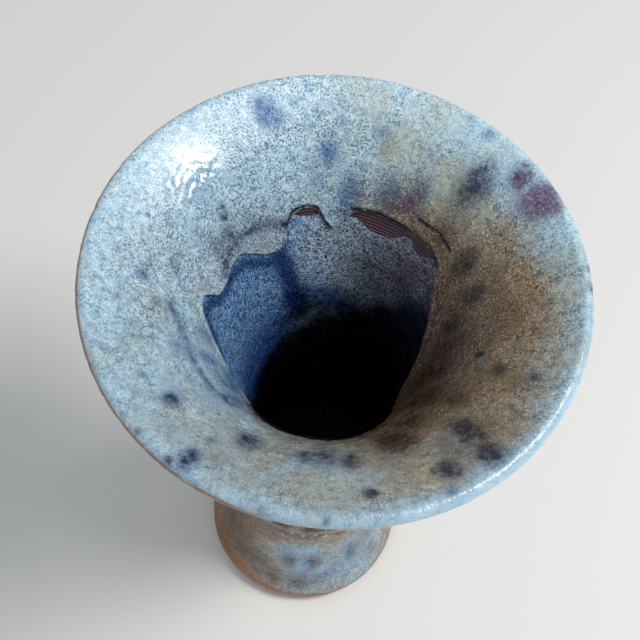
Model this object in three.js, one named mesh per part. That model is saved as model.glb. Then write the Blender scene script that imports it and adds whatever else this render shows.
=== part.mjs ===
// Gu beaker vase: three thrown stoneware sections and a floor disc, luted with slip,
// under a thick opalescent glaze. Millimetres, +Z up. The origin is the centre of the
// foot ring's resting face.
import * as THREE from "three";

// Outside sizes, measured over the glaze
const TOTAL_HEIGHT = 255;
const MOUTH_RADIUS = 85;
const NECK_RADIUS = 35.1;
const KNOP_RADIUS = 45;
const FOOT_RADIUS = 47.3;

// Heights of the joints between the thrown sections, the plain collar above and below
// the knop, and the foot's upright band
const LOWER_JOINT_HEIGHT = 92;
const UPPER_JOINT_HEIGHT = 130;
const KNOP_COLLAR = 2;
const FOOT_BAND_HEIGHT = 8;

// Curves of the trumpet and the foot: the slow part of the flare is a length, the rest are powers
const SLOW_FLARE = 30;
const SLOW_FLARE_POWER = 2.2;
const FAST_FLARE_POWER = 8;
const FOOT_FLARE_POWER = 2.4;

// Walls of the bare body
const BODY_WALL = 6;
const LIP_WALL = 3;
const KNOP_HOLLOW_DEPTH = 5;
const FOOT_HOLLOW_SPREAD = 9;

// Glaze coats
const OUTER_GLAZE = 1.2;
const MOUTH_GLAZE = 1.8;
const THROAT_GLAZE = 0.6;
const GLAZE_LINE_HEIGHT = 4;
const DRIP_DEPTH = 32;
const GLAZE_MEETING_ANGLE = -25;

// Luted joints: a spigot on the lower section stands in a rebate of the upper one
const CLEARANCE = 0.3;
const LUTING = 1;
const SPIGOT_HEIGHT = 3;

// Foot ring and floor disc
const RING_INNER_RADIUS = 38.5;
const RING_EDGE_BEVEL = 1.3;
const FLOOR_SHOULDER_HEIGHT = 26;
const FLOOR_THICKNESS = 6.2;
const FLOOR_RADIUS = 34;
const FLOOR_LUTING = 0.7;

// Steps of the turned surfaces
const SEGMENTS = 40;
const FOOT_STEPS = 5;
const KNOP_STEPS = 8;
const FLARE_STEPS = 9;
const FLARE_CROWDING = 1.7;
const LIP_ANGLES = [-45, -25, 0, 30, 60, 90];
const LEAST_STEP = 3;

const neckBodyRadius = NECK_RADIUS - OUTER_GLAZE - CLEARANCE;
const boreRadius = neckBodyRadius - BODY_WALL;
const spigotRadius = (neckBodyRadius + boreRadius) / 2;
const rebateRadius = spigotRadius + CLEARANCE;
const upperFaceLift = 2 * CLEARANCE + LUTING;
const rebateDepth = SPIGOT_HEIGHT + CLEARANCE;

const footBodyRadius = FOOT_RADIUS - OUTER_GLAZE - CLEARANCE;
const knopBodyRadius = KNOP_RADIUS - OUTER_GLAZE - CLEARANCE;
const knopHeight = (LOWER_JOINT_HEIGHT + UPPER_JOINT_HEIGHT) / 2;
const knopHalfHeight = (UPPER_JOINT_HEIGHT - LOWER_JOINT_HEIGHT) / 2 - KNOP_COLLAR;
const floorSeatRadius = FLOOR_RADIUS + FLOOR_LUTING + 2 * CLEARANCE;
const floorTop = FLOOR_SHOULDER_HEIGHT - CLEARANCE;
const floorBottom = floorTop - FLOOR_THICKNESS;

const lipHalf = LIP_WALL / 2;
const lipReach = lipHalf + CLEARANCE + OUTER_GLAZE;
const lipRadius = MOUTH_RADIUS - lipReach;
const lipHeight = TOTAL_HEIGHT - lipReach;
const neckLine = neckBodyRadius - BODY_WALL / 2;
const fastFlare = lipRadius - neckLine - SLOW_FLARE;
const dripEdgeHeight = TOTAL_HEIGHT - DRIP_DEPTH;

// Evenly spaced numbers from first to last, both included.
function spread(first, last, steps) {
  return Array.from({ length: steps + 1 }, (_, i) => first + ((last - first) * i) / steps);
}

// A station is a point of a face with its outward normal, so that coats can be laid on it.
function station(radius, height, slope) {
  const length = Math.hypot(1, slope);
  return { radius, height, normal: [1 / length, -slope / length] };
}

// Point at a distance out along a station's normal.
function lifted(at, distance) {
  return new THREE.Vector2(
    at.radius + at.normal[0] * distance,
    at.height + at.normal[1] * distance,
  );
}

// Stations of a surface of revolution r(z), with the slope from a short difference.
function stationsOf(radiusAt, heights) {
  const d = 0.01;
  return heights.map((z) => {
    const slope = (radiusAt(z + d) - radiusAt(z - d)) / (2 * d);
    return station(radiusAt(z), z, slope);
  });
}

// Outside of the foot's body: a plain band, then a curve that narrows to the neck.
function footOutsideRadius(z) {
  const rise = (LOWER_JOINT_HEIGHT - z) / (LOWER_JOINT_HEIGHT - FOOT_BAND_HEIGHT);
  const share = Math.min(1, Math.max(0, rise)) ** FOOT_FLARE_POWER;
  return neckBodyRadius + (footBodyRadius - neckBodyRadius) * share;
}

// Inside of the foot's body above the floor.
function footInsideRadius(z) {
  const rise = Math.max(0, (LOWER_JOINT_HEIGHT - z) / LOWER_JOINT_HEIGHT);
  return boreRadius + FOOT_HOLLOW_SPREAD * rise ** 2;
}

// A rounded swelling that is 1 at the knop's middle and 0 at its ends.
function swelling(z) {
  const across = Math.min(1, Math.abs(z - knopHeight) / knopHalfHeight);
  return Math.cos((across * Math.PI) / 2) ** 2;
}

function knopOutsideRadius(z) {
  return neckBodyRadius + (knopBodyRadius - neckBodyRadius) * swelling(z);
}

function knopInsideRadius(z) {
  return boreRadius + KNOP_HOLLOW_DEPTH * swelling(z);
}

// The trumpet's middle line: a slow power curve and a fast one that opens the mouth.
function trumpetLine(t) {
  return neckLine + SLOW_FLARE * t ** SLOW_FLARE_POWER + fastFlare * t ** FAST_FLARE_POWER;
}

// Station of the trumpet's middle line at a height, and the half wall there.
function trumpetStation(z) {
  const span = lipHeight - UPPER_JOINT_HEIGHT;
  const t = (z - UPPER_JOINT_HEIGHT) / span;
  const d = 0.0005;
  const slope = (trumpetLine(t + d) - trumpetLine(t - d)) / (2 * d * span);
  const half = BODY_WALL / 2 + (lipHalf - BODY_WALL / 2) * t;
  return { ...station(trumpetLine(t), z, slope), half };
}

// Heights down the trumpet, closer together where it opens.
function trumpetHeights(lowest) {
  const span = lipHeight - lowest;
  return spread(0, 1, FLARE_STEPS).map((u) => lipHeight - span * (1 - u) ** FLARE_CROWDING);
}

// Outer face of the trumpet at a distance from its body, going up.
function trumpetOutside(lowest, distance) {
  return trumpetHeights(lowest).map((z) => {
    const at = trumpetStation(z);
    return lifted(at, at.half + distance);
  });
}

// Inner face of the trumpet at a distance from its body, going down.
function trumpetInside(heights, distance) {
  return heights.map((z) => {
    const at = trumpetStation(z);
    return lifted(at, -(at.half + distance));
  });
}

// Round end of the lip at a distance from its body, from one angle to another in degrees.
function lipArc(from, to, distance) {
  const reach = lipHalf + distance;
  const [low, high] = [Math.min(from, to), Math.max(from, to)];
  const between = LIP_ANGLES.filter((a) => a > low + LEAST_STEP && a < high - LEAST_STEP);
  const arc = [low, ...between, high].map((angle) => {
    const a = THREE.MathUtils.degToRad(angle);
    return new THREE.Vector2(lipRadius + reach * Math.cos(a), lipHeight + reach * Math.sin(a));
  });
  return from > to ? arc.reverse() : arc;
}

// Angle of the lip's outward normal, in degrees, where the arc starts.
function lipStartAngle() {
  const [x, y] = trumpetStation(lipHeight).normal;
  return THREE.MathUtils.radToDeg(Math.atan2(y, x));
}

// Turns a profile, given with its outside on the right, into a solid about Z.
function turned(name, points, look) {
  const clean = points.filter((p, i) => i === 0 || p.distanceTo(points[i - 1]) > 1e-4);
  const closed = clean[0].x < 1e-6 ? clean : [...clean, clean[0].clone()];
  const geometry = new THREE.LatheGeometry(closed, SEGMENTS);
  geometry.rotateX(Math.PI / 2);
  const mesh = new THREE.Mesh(geometry, new THREE.MeshStandardMaterial(look));
  mesh.name = name;
  return mesh;
}

const at = (radius, height) => new THREE.Vector2(radius, height);

// Upper end of a section, going inward: outer ledge, spigot, bore.
function spigotEnd(jointHeight) {
  return [
    at(neckBodyRadius, jointHeight),
    at(spigotRadius, jointHeight),
    at(spigotRadius, jointHeight + SPIGOT_HEIGHT),
    at(boreRadius, jointHeight + SPIGOT_HEIGHT),
  ];
}

// Lower end of a section, going outward: bore, rebate, outer face.
function rebateEnd(jointHeight) {
  return [
    at(boreRadius, jointHeight + rebateDepth),
    at(rebateRadius, jointHeight + rebateDepth),
    at(rebateRadius, jointHeight + upperFaceLift),
    at(neckBodyRadius, jointHeight + upperFaceLift),
  ];
}

const footStations = stationsOf(footOutsideRadius, [
  GLAZE_LINE_HEIGHT,
  ...spread(FOOT_BAND_HEIGHT, LOWER_JOINT_HEIGHT, FOOT_STEPS),
]);
const footInsideHeights = spread(FLOOR_SHOULDER_HEIGHT, LOWER_JOINT_HEIGHT, FOOT_STEPS);
const knopHeights = spread(knopHeight - knopHalfHeight, knopHeight + knopHalfHeight, KNOP_STEPS);
const knopStations = stationsOf(knopOutsideRadius, knopHeights);
const knopInsideStations = stationsOf(knopInsideRadius, knopHeights).reverse();
const footInsideStations = stationsOf(footInsideRadius, footInsideHeights).reverse();
const flareFoot = UPPER_JOINT_HEIGHT + rebateDepth;
const flareHeights = trumpetHeights(flareFoot);
const dripHeights = [dripEdgeHeight, ...flareHeights.filter((z) => z > dripEdgeHeight + LEAST_STEP)];
const throatTop = dripEdgeHeight - CLEARANCE;
const throatHeights = [...flareHeights.filter((z) => z < throatTop - LEAST_STEP), throatTop];
const lipFrom = lipStartAngle();
const lipTo = lipFrom + 180;

// Body sections

function mouthSection() {
  const points = [
    ...rebateEnd(UPPER_JOINT_HEIGHT).slice(1),
    ...trumpetOutside(flareFoot, 0),
    ...lipArc(lipFrom, lipTo, 0),
    ...trumpetInside([...flareHeights].reverse(), 0),
    at(boreRadius, UPPER_JOINT_HEIGHT + rebateDepth),
  ];
  return turned("mouth_section", points, { color: 0x8a5a48, roughness: 0.85, metalness: 0 });
}

function middleSection() {
  const points = [
    ...rebateEnd(LOWER_JOINT_HEIGHT),
    ...knopStations.map((s) => lifted(s, 0)),
    ...spigotEnd(UPPER_JOINT_HEIGHT),
    ...knopInsideStations.map((s) => lifted(s, 0)),
  ];
  return turned("middle_section", points, { color: 0x85563f, roughness: 0.85, metalness: 0 });
}

function footSection() {
  const points = [
    at(RING_INNER_RADIUS, 0),
    at(footBodyRadius - RING_EDGE_BEVEL, 0),
    at(footBodyRadius, RING_EDGE_BEVEL),
    ...footStations.map((s) => lifted(s, 0)),
    ...spigotEnd(LOWER_JOINT_HEIGHT),
    ...footInsideStations.map((s) => lifted(s, 0)),
    at(floorSeatRadius, FLOOR_SHOULDER_HEIGHT),
    at(floorSeatRadius, floorBottom),
  ];
  return turned("foot_section", points, { color: 0x80523c, roughness: 0.85, metalness: 0 });
}

function baseFloor() {
  const points = [
    at(0, floorBottom),
    at(FLOOR_RADIUS, floorBottom),
    at(FLOOR_RADIUS, floorTop),
    at(0, floorTop),
  ];
  return turned("base_floor", points, { color: 0x80523c, roughness: 0.9, metalness: 0 });
}

// Rings of dried slip between the sections and round the floor

function lutingRing(name, jointHeight) {
  const low = jointHeight + CLEARANCE;
  const points = [
    at(rebateRadius, low),
    at(neckBodyRadius, low),
    at(neckBodyRadius, low + LUTING),
    at(rebateRadius, low + LUTING),
  ];
  return turned(name, points, { color: 0x9a6b52, roughness: 0.9, metalness: 0 });
}

function floorLutingRing() {
  const inner = FLOOR_RADIUS + CLEARANCE;
  const outer = inner + FLOOR_LUTING;
  const points = [
    at(inner, floorBottom),
    at(outer, floorBottom),
    at(outer, floorTop),
    at(inner, floorTop),
  ];
  return turned("floor_luting_slip", points, { color: 0x9a6b52, roughness: 0.9, metalness: 0 });
}

// Glaze coats

function outerGlaze() {
  const side = (distance) => [
    ...footStations.map((s) => lifted(s, distance)),
    ...knopStations.map((s) => lifted(s, distance)),
    ...trumpetOutside(flareFoot, distance),
    ...lipArc(lipFrom, GLAZE_MEETING_ANGLE, distance),
  ];
  const points = [...side(CLEARANCE + OUTER_GLAZE), ...side(CLEARANCE).reverse()];
  return turned("outer_glaze", points, { color: 0x8d9db0, roughness: 0.35, metalness: 0 });
}

// The mouth's coat thickens from the lip to its drip edge, where it ends in a rolled bead.
function mouthGlaze() {
  const gapAngle = THREE.MathUtils.radToDeg(CLEARANCE / lipHalf);
  const from = GLAZE_MEETING_ANGLE + gapAngle;
  const lipCoat = CLEARANCE + OUTER_GLAZE;
  const down = [...dripHeights].reverse();
  const visible = down.map((z) => {
    const share = (lipHeight - z) / (lipHeight - dripEdgeHeight);
    const here = trumpetStation(z);
    return lifted(here, -(here.half + lipCoat + (MOUTH_GLAZE - OUTER_GLAZE) * share));
  });
  const points = [
    ...lipArc(from, lipTo, lipCoat),
    ...visible,
    ...trumpetInside(dripHeights, CLEARANCE),
    ...lipArc(lipTo, from, CLEARANCE),
  ];
  return turned("mouth_glaze", points, { color: 0xaebcc4, roughness: 0.3, metalness: 0 });
}

// The thin coat of the throat, the hollow body and the floor, in one piece.
function throatGlaze() {
  const wall = (distance) => [
    ...trumpetInside([...throatHeights].reverse(), distance),
    ...knopInsideStations.map((s) => lifted(s, -distance)),
    ...footInsideStations.map((s) => lifted(s, -distance)),
  ];
  const floorSide = floorTop + CLEARANCE;
  const bodySide = wall(CLEARANCE).slice(0, -1).reverse();
  const visibleSide = wall(CLEARANCE + THROAT_GLAZE).slice(0, -1);
  const cornerRadius = footInsideRadius(FLOOR_SHOULDER_HEIGHT) - CLEARANCE;
  const points = [
    at(0, floorSide),
    at(cornerRadius, floorSide),
    ...bodySide,
    ...visibleSide,
    at(cornerRadius - THROAT_GLAZE, floorSide + THROAT_GLAZE),
    at(0, floorSide + THROAT_GLAZE),
  ];
  return turned("throat_glaze", points, { color: 0x36496b, roughness: 0.3, metalness: 0 });
}

const vase = new THREE.Group();
vase.add(
  mouthSection(),
  middleSection(),
  footSection(),
  baseFloor(),
  lutingRing("upper_luting_slip", UPPER_JOINT_HEIGHT),
  lutingRing("lower_luting_slip", LOWER_JOINT_HEIGHT),
  floorLutingRing(),
  outerGlaze(),
  mouthGlaze(),
  throatGlaze(),
);

export default vase;
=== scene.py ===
"""Gu beaker vase in thick opalescent glaze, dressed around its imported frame.

The clay sections stay as the frame holds them. The three glaze coats and the foot's
body are turned again here as fine surfaces, with a scalloped drip edge in the throat,
combed lines, pebbles, nicks and splashes. Heights and radii are in millimetres until
the meshes are made, in the frame's own axes. Azimuths are in degrees from +X. Lengths,
places, counts and seeds have names. Plain numbers that stay in a formula are shares.
"""

import logging
from collections.abc import Callable
from dataclasses import dataclass
from enum import Enum
from functools import reduce

import bpy
import numpy as np
from mathutils import Matrix


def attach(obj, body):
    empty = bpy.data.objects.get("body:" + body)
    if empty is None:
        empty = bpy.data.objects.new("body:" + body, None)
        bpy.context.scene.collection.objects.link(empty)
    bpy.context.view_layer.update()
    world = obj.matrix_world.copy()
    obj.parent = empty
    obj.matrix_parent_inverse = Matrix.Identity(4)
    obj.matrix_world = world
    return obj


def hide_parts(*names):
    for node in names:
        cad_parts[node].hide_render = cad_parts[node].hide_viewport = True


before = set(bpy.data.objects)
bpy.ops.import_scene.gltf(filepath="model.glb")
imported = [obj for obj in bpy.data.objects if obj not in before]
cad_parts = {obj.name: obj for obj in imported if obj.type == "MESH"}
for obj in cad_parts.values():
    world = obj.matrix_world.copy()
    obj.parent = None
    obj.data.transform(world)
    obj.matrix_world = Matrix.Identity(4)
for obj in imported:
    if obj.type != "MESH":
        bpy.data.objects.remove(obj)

LOG = logging.getLogger("gu_vase")
MM = 0.001
TURN = 2.0 * np.pi
ROOT = "root"
Stops = tuple[tuple[float, str], ...]
Path = tuple[tuple[float, float], ...]
Place = tuple[float, float, float]
Masks = dict[str, np.ndarray]


class Slot(Enum):
    """Material slots of the record."""

    STONEWARE = "stoneware"
    LUTING = "luting_slip"
    OUTER = "outer_glaze"
    MOUTH = "mouth_glaze"
    THROAT = "throat_glaze"


class Lay(Enum):
    """How a tint lies on the glaze: opaque over it, or seen through like stained glass."""

    OVER = "MIX"
    THROUGH = "MULTIPLY"


def linear(code: str) -> tuple[float, float, float, float]:
    """Turn an sRGB hex colour into linear light.

    Args:
        code: six hex digits, with or without a leading hash.

    Returns:
        Linear red, green, blue and an alpha of one.
    """
    digits = code.lstrip("#")
    srgb = np.array([int(digits[i:i + 2], 16) for i in (0, 2, 4)]) / 255.0
    low = srgb / 12.92
    high = ((srgb + 0.055) / 1.055) ** 2.4
    rgb = np.where(srgb <= 0.04045, low, high)
    return (float(rgb[0]), float(rgb[1]), float(rgb[2]), 1.0)


def add_node(tree: bpy.types.NodeTree, kind: str, settings: dict | None = None,
             links: dict | None = None) -> bpy.types.Node:
    """Add one node with its settings and incoming links.

    Args:
        tree: the node tree that gets the node.
        kind: the node's type name after ShaderNode.
        settings: property name to value, or input name or number to a constant.
        links: input name or number to the socket, or the node by its first output.

    Returns:
        The new node.
    """
    node = tree.nodes.new("ShaderNode" + kind)
    for key, value in (settings or {}).items():
        if isinstance(key, str) and hasattr(node, key):
            setattr(node, key, value)
        else:
            node.inputs[key].default_value = value
    for key, source in (links or {}).items():
        socket = source.outputs[0] if isinstance(source, bpy.types.Node) else source
        tree.links.new(socket, node.inputs[key])
    return node


def set_stops(node: bpy.types.Node, stops: Stops) -> bpy.types.NodeSocket:
    """Give a colour ramp its stops.

    Args:
        node: the colour ramp, with its two first stops.
        stops: position and sRGB hex colour of each stop, in rising position.

    Returns:
        The ramp's colour output.
    """
    elements = node.color_ramp.elements
    elements[0].position, elements[0].color = stops[0][0], linear(stops[0][1])
    elements[1].position, elements[1].color = stops[-1][0], linear(stops[-1][1])
    for position, code in stops[1:-1]:
        elements.new(position).color = linear(code)
    return node.outputs["Color"]


def empty_material(name: str) -> tuple[bpy.types.Material, bpy.types.NodeTree]:
    """Make a material without nodes.

    Args:
        name: the material's name, after the real material and its process.

    Returns:
        The material and its empty node tree.
    """
    material = bpy.data.materials.new(name)
    material.use_nodes = True
    material.node_tree.nodes.clear()
    return material, material.node_tree


@dataclass(frozen=True)
class VaseSizes:
    """Driving sizes of the vase in millimetres, as the frame's solids have them."""

    height: float = 255.0
    mouth: float = 85.0
    neck: float = 35.1
    knop: float = 45.0
    foot: float = 47.3
    lower_joint: float = 92.0
    upper_joint: float = 130.0
    knop_half: float = 17.0
    foot_band: float = 8.0
    slow_flare: float = 30.0
    slow_power: float = 2.2
    fast_power: float = 8.0
    foot_power: float = 2.4
    wall: float = 6.0
    lip_wall: float = 3.0
    knop_hollow: float = 5.0
    foot_hollow: float = 9.0
    outer_coat: float = 1.2
    mouth_coat: float = 1.8
    throat_coat: float = 0.6
    glaze_line: float = 4.0
    clearance: float = 0.3
    ring_inner: float = 38.5
    ring_bevel: float = 1.3
    shoulder: float = 26.0
    floor_thickness: float = 6.2
    floor_radius: float = 34.0
    floor_luting: float = 0.7
    spigot: float = 3.0

    @property
    def neck_body(self) -> float:
        """Radius of the bare neck."""
        return self.neck - self.outer_coat - self.clearance

    @property
    def bore(self) -> float:
        """Radius inside the bare neck."""
        return self.neck_body - self.wall

    @property
    def skin(self) -> float:
        """Distance from the clay to the outside of a full coat."""
        return self.clearance + self.outer_coat

    @property
    def lip_reach(self) -> float:
        """Distance from the lip's centre line to its glazed skin."""
        return self.lip_wall / 2 + self.skin

    @property
    def lip_height(self) -> float:
        """Height of the lip's centre line."""
        return self.height - self.lip_reach

    @property
    def lip_radius(self) -> float:
        """Radius of the lip's centre line."""
        return self.mouth - self.lip_reach

    @property
    def knop_height(self) -> float:
        """Height of the knop's middle."""
        return (self.lower_joint + self.upper_joint) / 2


SIZES = VaseSizes()


class VaseCurves:
    """The turned faces of the vase as functions of height, all in millimetres."""

    SLOPE_STEP = 0.01

    def __init__(self, sizes: VaseSizes) -> None:
        """Keep the driving sizes."""
        self.s = sizes

    def trumpet_line(self, z: np.ndarray) -> np.ndarray:
        """Middle line of the trumpet's wall: neck + slow power curve + fast power curve.

        Args:
            z: heights.

        Returns:
            Radii.
        """
        s = self.s
        start = s.neck_body - s.wall / 2
        t = np.clip((z - s.upper_joint) / (s.lip_height - s.upper_joint), 0, None)
        fast = s.lip_radius - start - s.slow_flare
        return start + s.slow_flare * t ** s.slow_power + fast * t ** s.fast_power

    def trumpet_half(self, z: np.ndarray) -> np.ndarray:
        """Half of the trumpet's bare wall, thinning evenly from the neck to the lip.

        Args:
            z: heights.

        Returns:
            Half thicknesses.
        """
        s = self.s
        t = (z - s.upper_joint) / (s.lip_height - s.upper_joint)
        return s.wall / 2 + (s.lip_wall / 2 - s.wall / 2) * t

    def foot_outside(self, z: np.ndarray) -> np.ndarray:
        """Bare outside of the foot: a plain band, then a power curve into the neck.

        Args:
            z: heights.

        Returns:
            Radii.
        """
        s = self.s
        rise = np.clip((s.lower_joint - z) / (s.lower_joint - s.foot_band), 0, 1)
        body = s.foot - s.skin
        return s.neck_body + (body - s.neck_body) * rise ** s.foot_power

    def foot_inside(self, z: np.ndarray) -> np.ndarray:
        """Bare inside of the foot above its floor: a parabola that widens downwards.

        Args:
            z: heights.

        Returns:
            Radii.
        """
        s = self.s
        rise = np.clip((s.lower_joint - z) / s.lower_joint, 0, None)
        return s.bore + s.foot_hollow * rise ** 2

    def swelling(self, z: np.ndarray) -> np.ndarray:
        """Squared cosine bump, one at the knop's middle and zero at its ends."""
        across = np.clip(np.abs(z - self.s.knop_height) / self.s.knop_half, 0, 1)
        return np.cos(across * np.pi / 2) ** 2

    def outside(self, z: np.ndarray) -> np.ndarray:
        """Bare outside below the trumpet: foot, then neck + swelling at the knop.

        Args:
            z: heights.

        Returns:
            Radii.
        """
        s = self.s
        knop = s.neck_body + (s.knop - s.skin - s.neck_body) * self.swelling(z)
        return np.where(z < s.lower_joint, self.foot_outside(z), knop)

    def inside(self, z: np.ndarray) -> np.ndarray:
        """Bare inside below the trumpet: foot, then bore + swelling at the knop.

        Args:
            z: heights.

        Returns:
            Radii.
        """
        s = self.s
        knop = s.bore + s.knop_hollow * self.swelling(z)
        return np.where(z < s.lower_joint, self.foot_inside(z), knop)

    def lifted(self, radius_at: Callable, z: np.ndarray, distance: np.ndarray) -> tuple:
        """Move points of a face r(z) along its outward normal.

        Args:
            radius_at: function of height that gives the face's radius.
            z: heights.
            distance: distance out along the normal, negative for inwards.

        Returns:
            Radii and heights of the moved points.
        """
        step = self.SLOPE_STEP
        slope = (radius_at(z + step) - radius_at(z - step)) / (2 * step)
        length = np.hypot(1.0, slope)
        return radius_at(z) + distance / length, z - distance * slope / length

    def trumpet_inside(self, z: np.ndarray, distance: np.ndarray) -> tuple:
        """Trumpet's inner face at a distance in from its bare wall, as radii and heights."""
        return self.lifted(self.trumpet_line, z, -(self.trumpet_half(z) + distance))

    def trumpet_outside(self, z: np.ndarray, distance: np.ndarray) -> tuple:
        """Trumpet's outer face at a distance out from its bare wall, as radii and heights."""
        return self.lifted(self.trumpet_line, z, self.trumpet_half(z) + distance)

    def lip_normal_angle(self) -> float:
        """Angle of the wall's outward normal where the round lip begins.

        Returns:
            The angle above the horizontal in radians.
        """
        top = np.array([self.s.lip_height])
        rise = self.trumpet_line(top) - self.trumpet_line(top - self.SLOPE_STEP)
        return float(np.arctan2(-rise[0] / self.SLOPE_STEP, 1.0))

    def lip_arc(self, angle: np.ndarray, distance: np.ndarray) -> tuple:
        """Round end of the lip: a circle round the lip's centre line.

        Args:
            angle: angles above the horizontal in radians.
            distance: distance out from the bare wall.

        Returns:
            Radii and heights.
        """
        s = self.s
        reach = s.lip_wall / 2 + distance
        return s.lip_radius + reach * np.cos(angle), s.lip_height + reach * np.sin(angle)


CURVES = VaseCurves(SIZES)


def bell(distance: np.ndarray, width: float) -> np.ndarray:
    """Bell curve exp(-(distance / width)^2)."""
    return np.exp(-(distance / width) ** 2)


def ease(value: np.ndarray) -> np.ndarray:
    """Smooth step from 0 to 1: v^2 (3 - 2 v), with v held between 0 and 1."""
    v = np.clip(value, 0, 1)
    return v * v * (3 - 2 * v)


def strongest(*fields: np.ndarray) -> np.ndarray:
    """Largest of several fields at each point."""
    return reduce(np.maximum, fields)


def turned_from(angle: np.ndarray, azimuth: float) -> np.ndarray:
    """Signed angle from an azimuth in degrees, as radians between minus and plus pi."""
    return (angle - np.radians(azimuth) + np.pi) % TURN - np.pi


@dataclass(frozen=True)
class RoundCurve:
    """Closed curve round the vase through points of azimuth in degrees and value.

    Straight pieces join the points, in rising azimuth, and each value is the average
    over the blur, in degrees, to both sides.
    """

    points: Path
    blur: float = 2.0
    samples: int = 7

    def at(self, angle: np.ndarray) -> np.ndarray:
        """Values of the curve.

        Args:
            angle: angles round the axis in radians.

        Returns:
            One value for each angle.
        """
        azimuth, value = np.array(self.points).T
        shifts = np.linspace(-self.blur, self.blur, self.samples)
        turned = np.degrees(angle)[..., None] + shifts
        return np.interp(turned, azimuth, value, period=360.0).mean(-1)


@dataclass(frozen=True)
class Waves:
    """Smooth closed wobble round the vase: a sum of cosines with seeded phases.

    The counts are whole numbers of waves in a turn, one cosine each.
    """

    amount: float
    counts: tuple[int, ...]
    seed: int

    def at(self, angle: np.ndarray) -> np.ndarray:
        """Values of the wobble.

        Args:
            angle: angles round the axis in radians, as a row.

        Returns:
            Values of about minus the amount to the amount, one for each angle.
        """
        rng = np.random.default_rng(self.seed)
        phases = rng.uniform(0, TURN, len(self.counts))
        weights = rng.uniform(0.5, 1.0, len(self.counts))
        weights = weights / weights.sum()
        counted = np.array(self.counts)[:, None]
        cosines = np.cos(counted * angle[None, :] + phases[:, None])
        return self.amount * (weights[:, None] * cosines).sum(0)


@dataclass(frozen=True)
class Band:
    """Soft band of radii or heights: a bell round its middle, in millimetres."""

    middle: float
    width: float

    def at(self, value: np.ndarray) -> np.ndarray:
        """Strength at each value, one in the middle."""
        return bell(value - self.middle, self.width)


@dataclass(frozen=True)
class Side:
    """Soft side of the vase: a bell round its azimuth in degrees, its width in radians."""

    azimuth: float
    width: float

    def at(self, angle: np.ndarray) -> np.ndarray:
        """Strength at each angle in radians, one at the azimuth."""
        return bell(turned_from(angle, self.azimuth), self.width)


@dataclass(frozen=True)
class Pebbles:
    """Lumpy field over an unrolled turned face: a sum of plane waves in all directions.

    Wave i is cos(n a + k s + phase) with n whole and (n / R)^2 + k^2 = (2 pi / length)^2.
    The lengths lie round the size, and are right round the axis at the radius R. The
    lumps are stretch times longer along the profile than round it.
    """

    amount: float
    size: float
    radius: float
    seed: int
    stretch: float = 1.0
    count: int = 28
    limit: float = 1.6

    def at(self, angle: np.ndarray, along: np.ndarray) -> np.ndarray:
        """Field at a row of angles and a grid or column of distances along the profile.

        Args:
            angle: angles round the axis in radians.
            along: distances along the profile in millimetres.

        Returns:
            Values from about minus the amount to the amount.
        """
        rng = np.random.default_rng(self.seed)
        total = np.zeros(np.broadcast(angle, along).shape)
        for heading in np.linspace(0, np.pi, self.count, endpoint=False):
            wave = TURN / (self.size * rng.uniform(0.65, 1.6))
            turns = round(self.radius * wave * np.cos(heading))
            pitch = wave * np.sin(heading) / self.stretch
            total = total + np.cos(turns * angle + pitch * along + rng.uniform(0, TURN))
        total = np.clip(total / np.sqrt(self.count), -self.limit, self.limit)
        return self.amount * (total / self.limit)


@dataclass(frozen=True)
class Patch:
    """A coloured patch of the glaze, as a soft oval spot on a turned face."""

    azimuth: float
    level: float
    size: float
    strength: float = 1.0
    tall: float = 1.0

    def mask(self, angle: np.ndarray, radius: np.ndarray, level: np.ndarray) -> np.ndarray:
        """Bell of the distance across the face: exp(-(d / size)^2) times the strength.

        Args:
            angle: angles in radians, as a row.
            radius: radii in millimetres, as a grid.
            level: radii or heights that the patch's level counts in, as a grid.

        Returns:
            Values of zero to the patch's strength.
        """
        across = radius * turned_from(angle, self.azimuth)
        return self.strength * bell(np.hypot(across, (level - self.level) / self.tall), self.size)


@dataclass(frozen=True)
class Stroke:
    """A drawn or cut line in the glaze, along a path of azimuths and levels."""

    path: Path
    width: float
    strength: float = 1.0

    def mask(self, angle: np.ndarray, radius: np.ndarray, level: np.ndarray) -> np.ndarray:
        """Bell of the distance to the nearest straight piece of the unrolled path.

        Args:
            angle: angles in radians, as a row.
            radius: radii in millimetres, as a grid.
            level: radii or heights that the path's levels count in, as a grid.

        Returns:
            Values of zero to the stroke's strength.
        """
        nearest = np.full(np.broadcast(angle, radius).shape, np.inf)
        for (start, low), (end, high) in zip(self.path, self.path[1:]):
            across, up = radius * turned_from(angle, start), level - low
            run, rise = radius * np.radians(end - start), high - low
            share = np.clip((across * run + up * rise) / (run ** 2 + rise ** 2), 0, 1)
            nearest = np.minimum(nearest, np.hypot(across - share * run, up - share * rise))
        return self.strength * bell(nearest, self.width)


Marks = tuple[Patch | Stroke, ...]


def mark_field(marks: Marks, angle: np.ndarray, radius: np.ndarray,
               level: np.ndarray) -> np.ndarray:
    """Strongest of several patches and strokes at each point."""
    nothing = np.zeros(np.broadcast(angle, radius).shape)
    return strongest(nothing, *(mark.mask(angle, radius, level) for mark in marks))


def patches(*rows: tuple[float, ...]) -> tuple[Patch, ...]:
    """Patches from rows of azimuth, level, size and, where they aren't 1, strength and tallness."""
    return tuple(Patch(*row) for row in rows)


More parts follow.
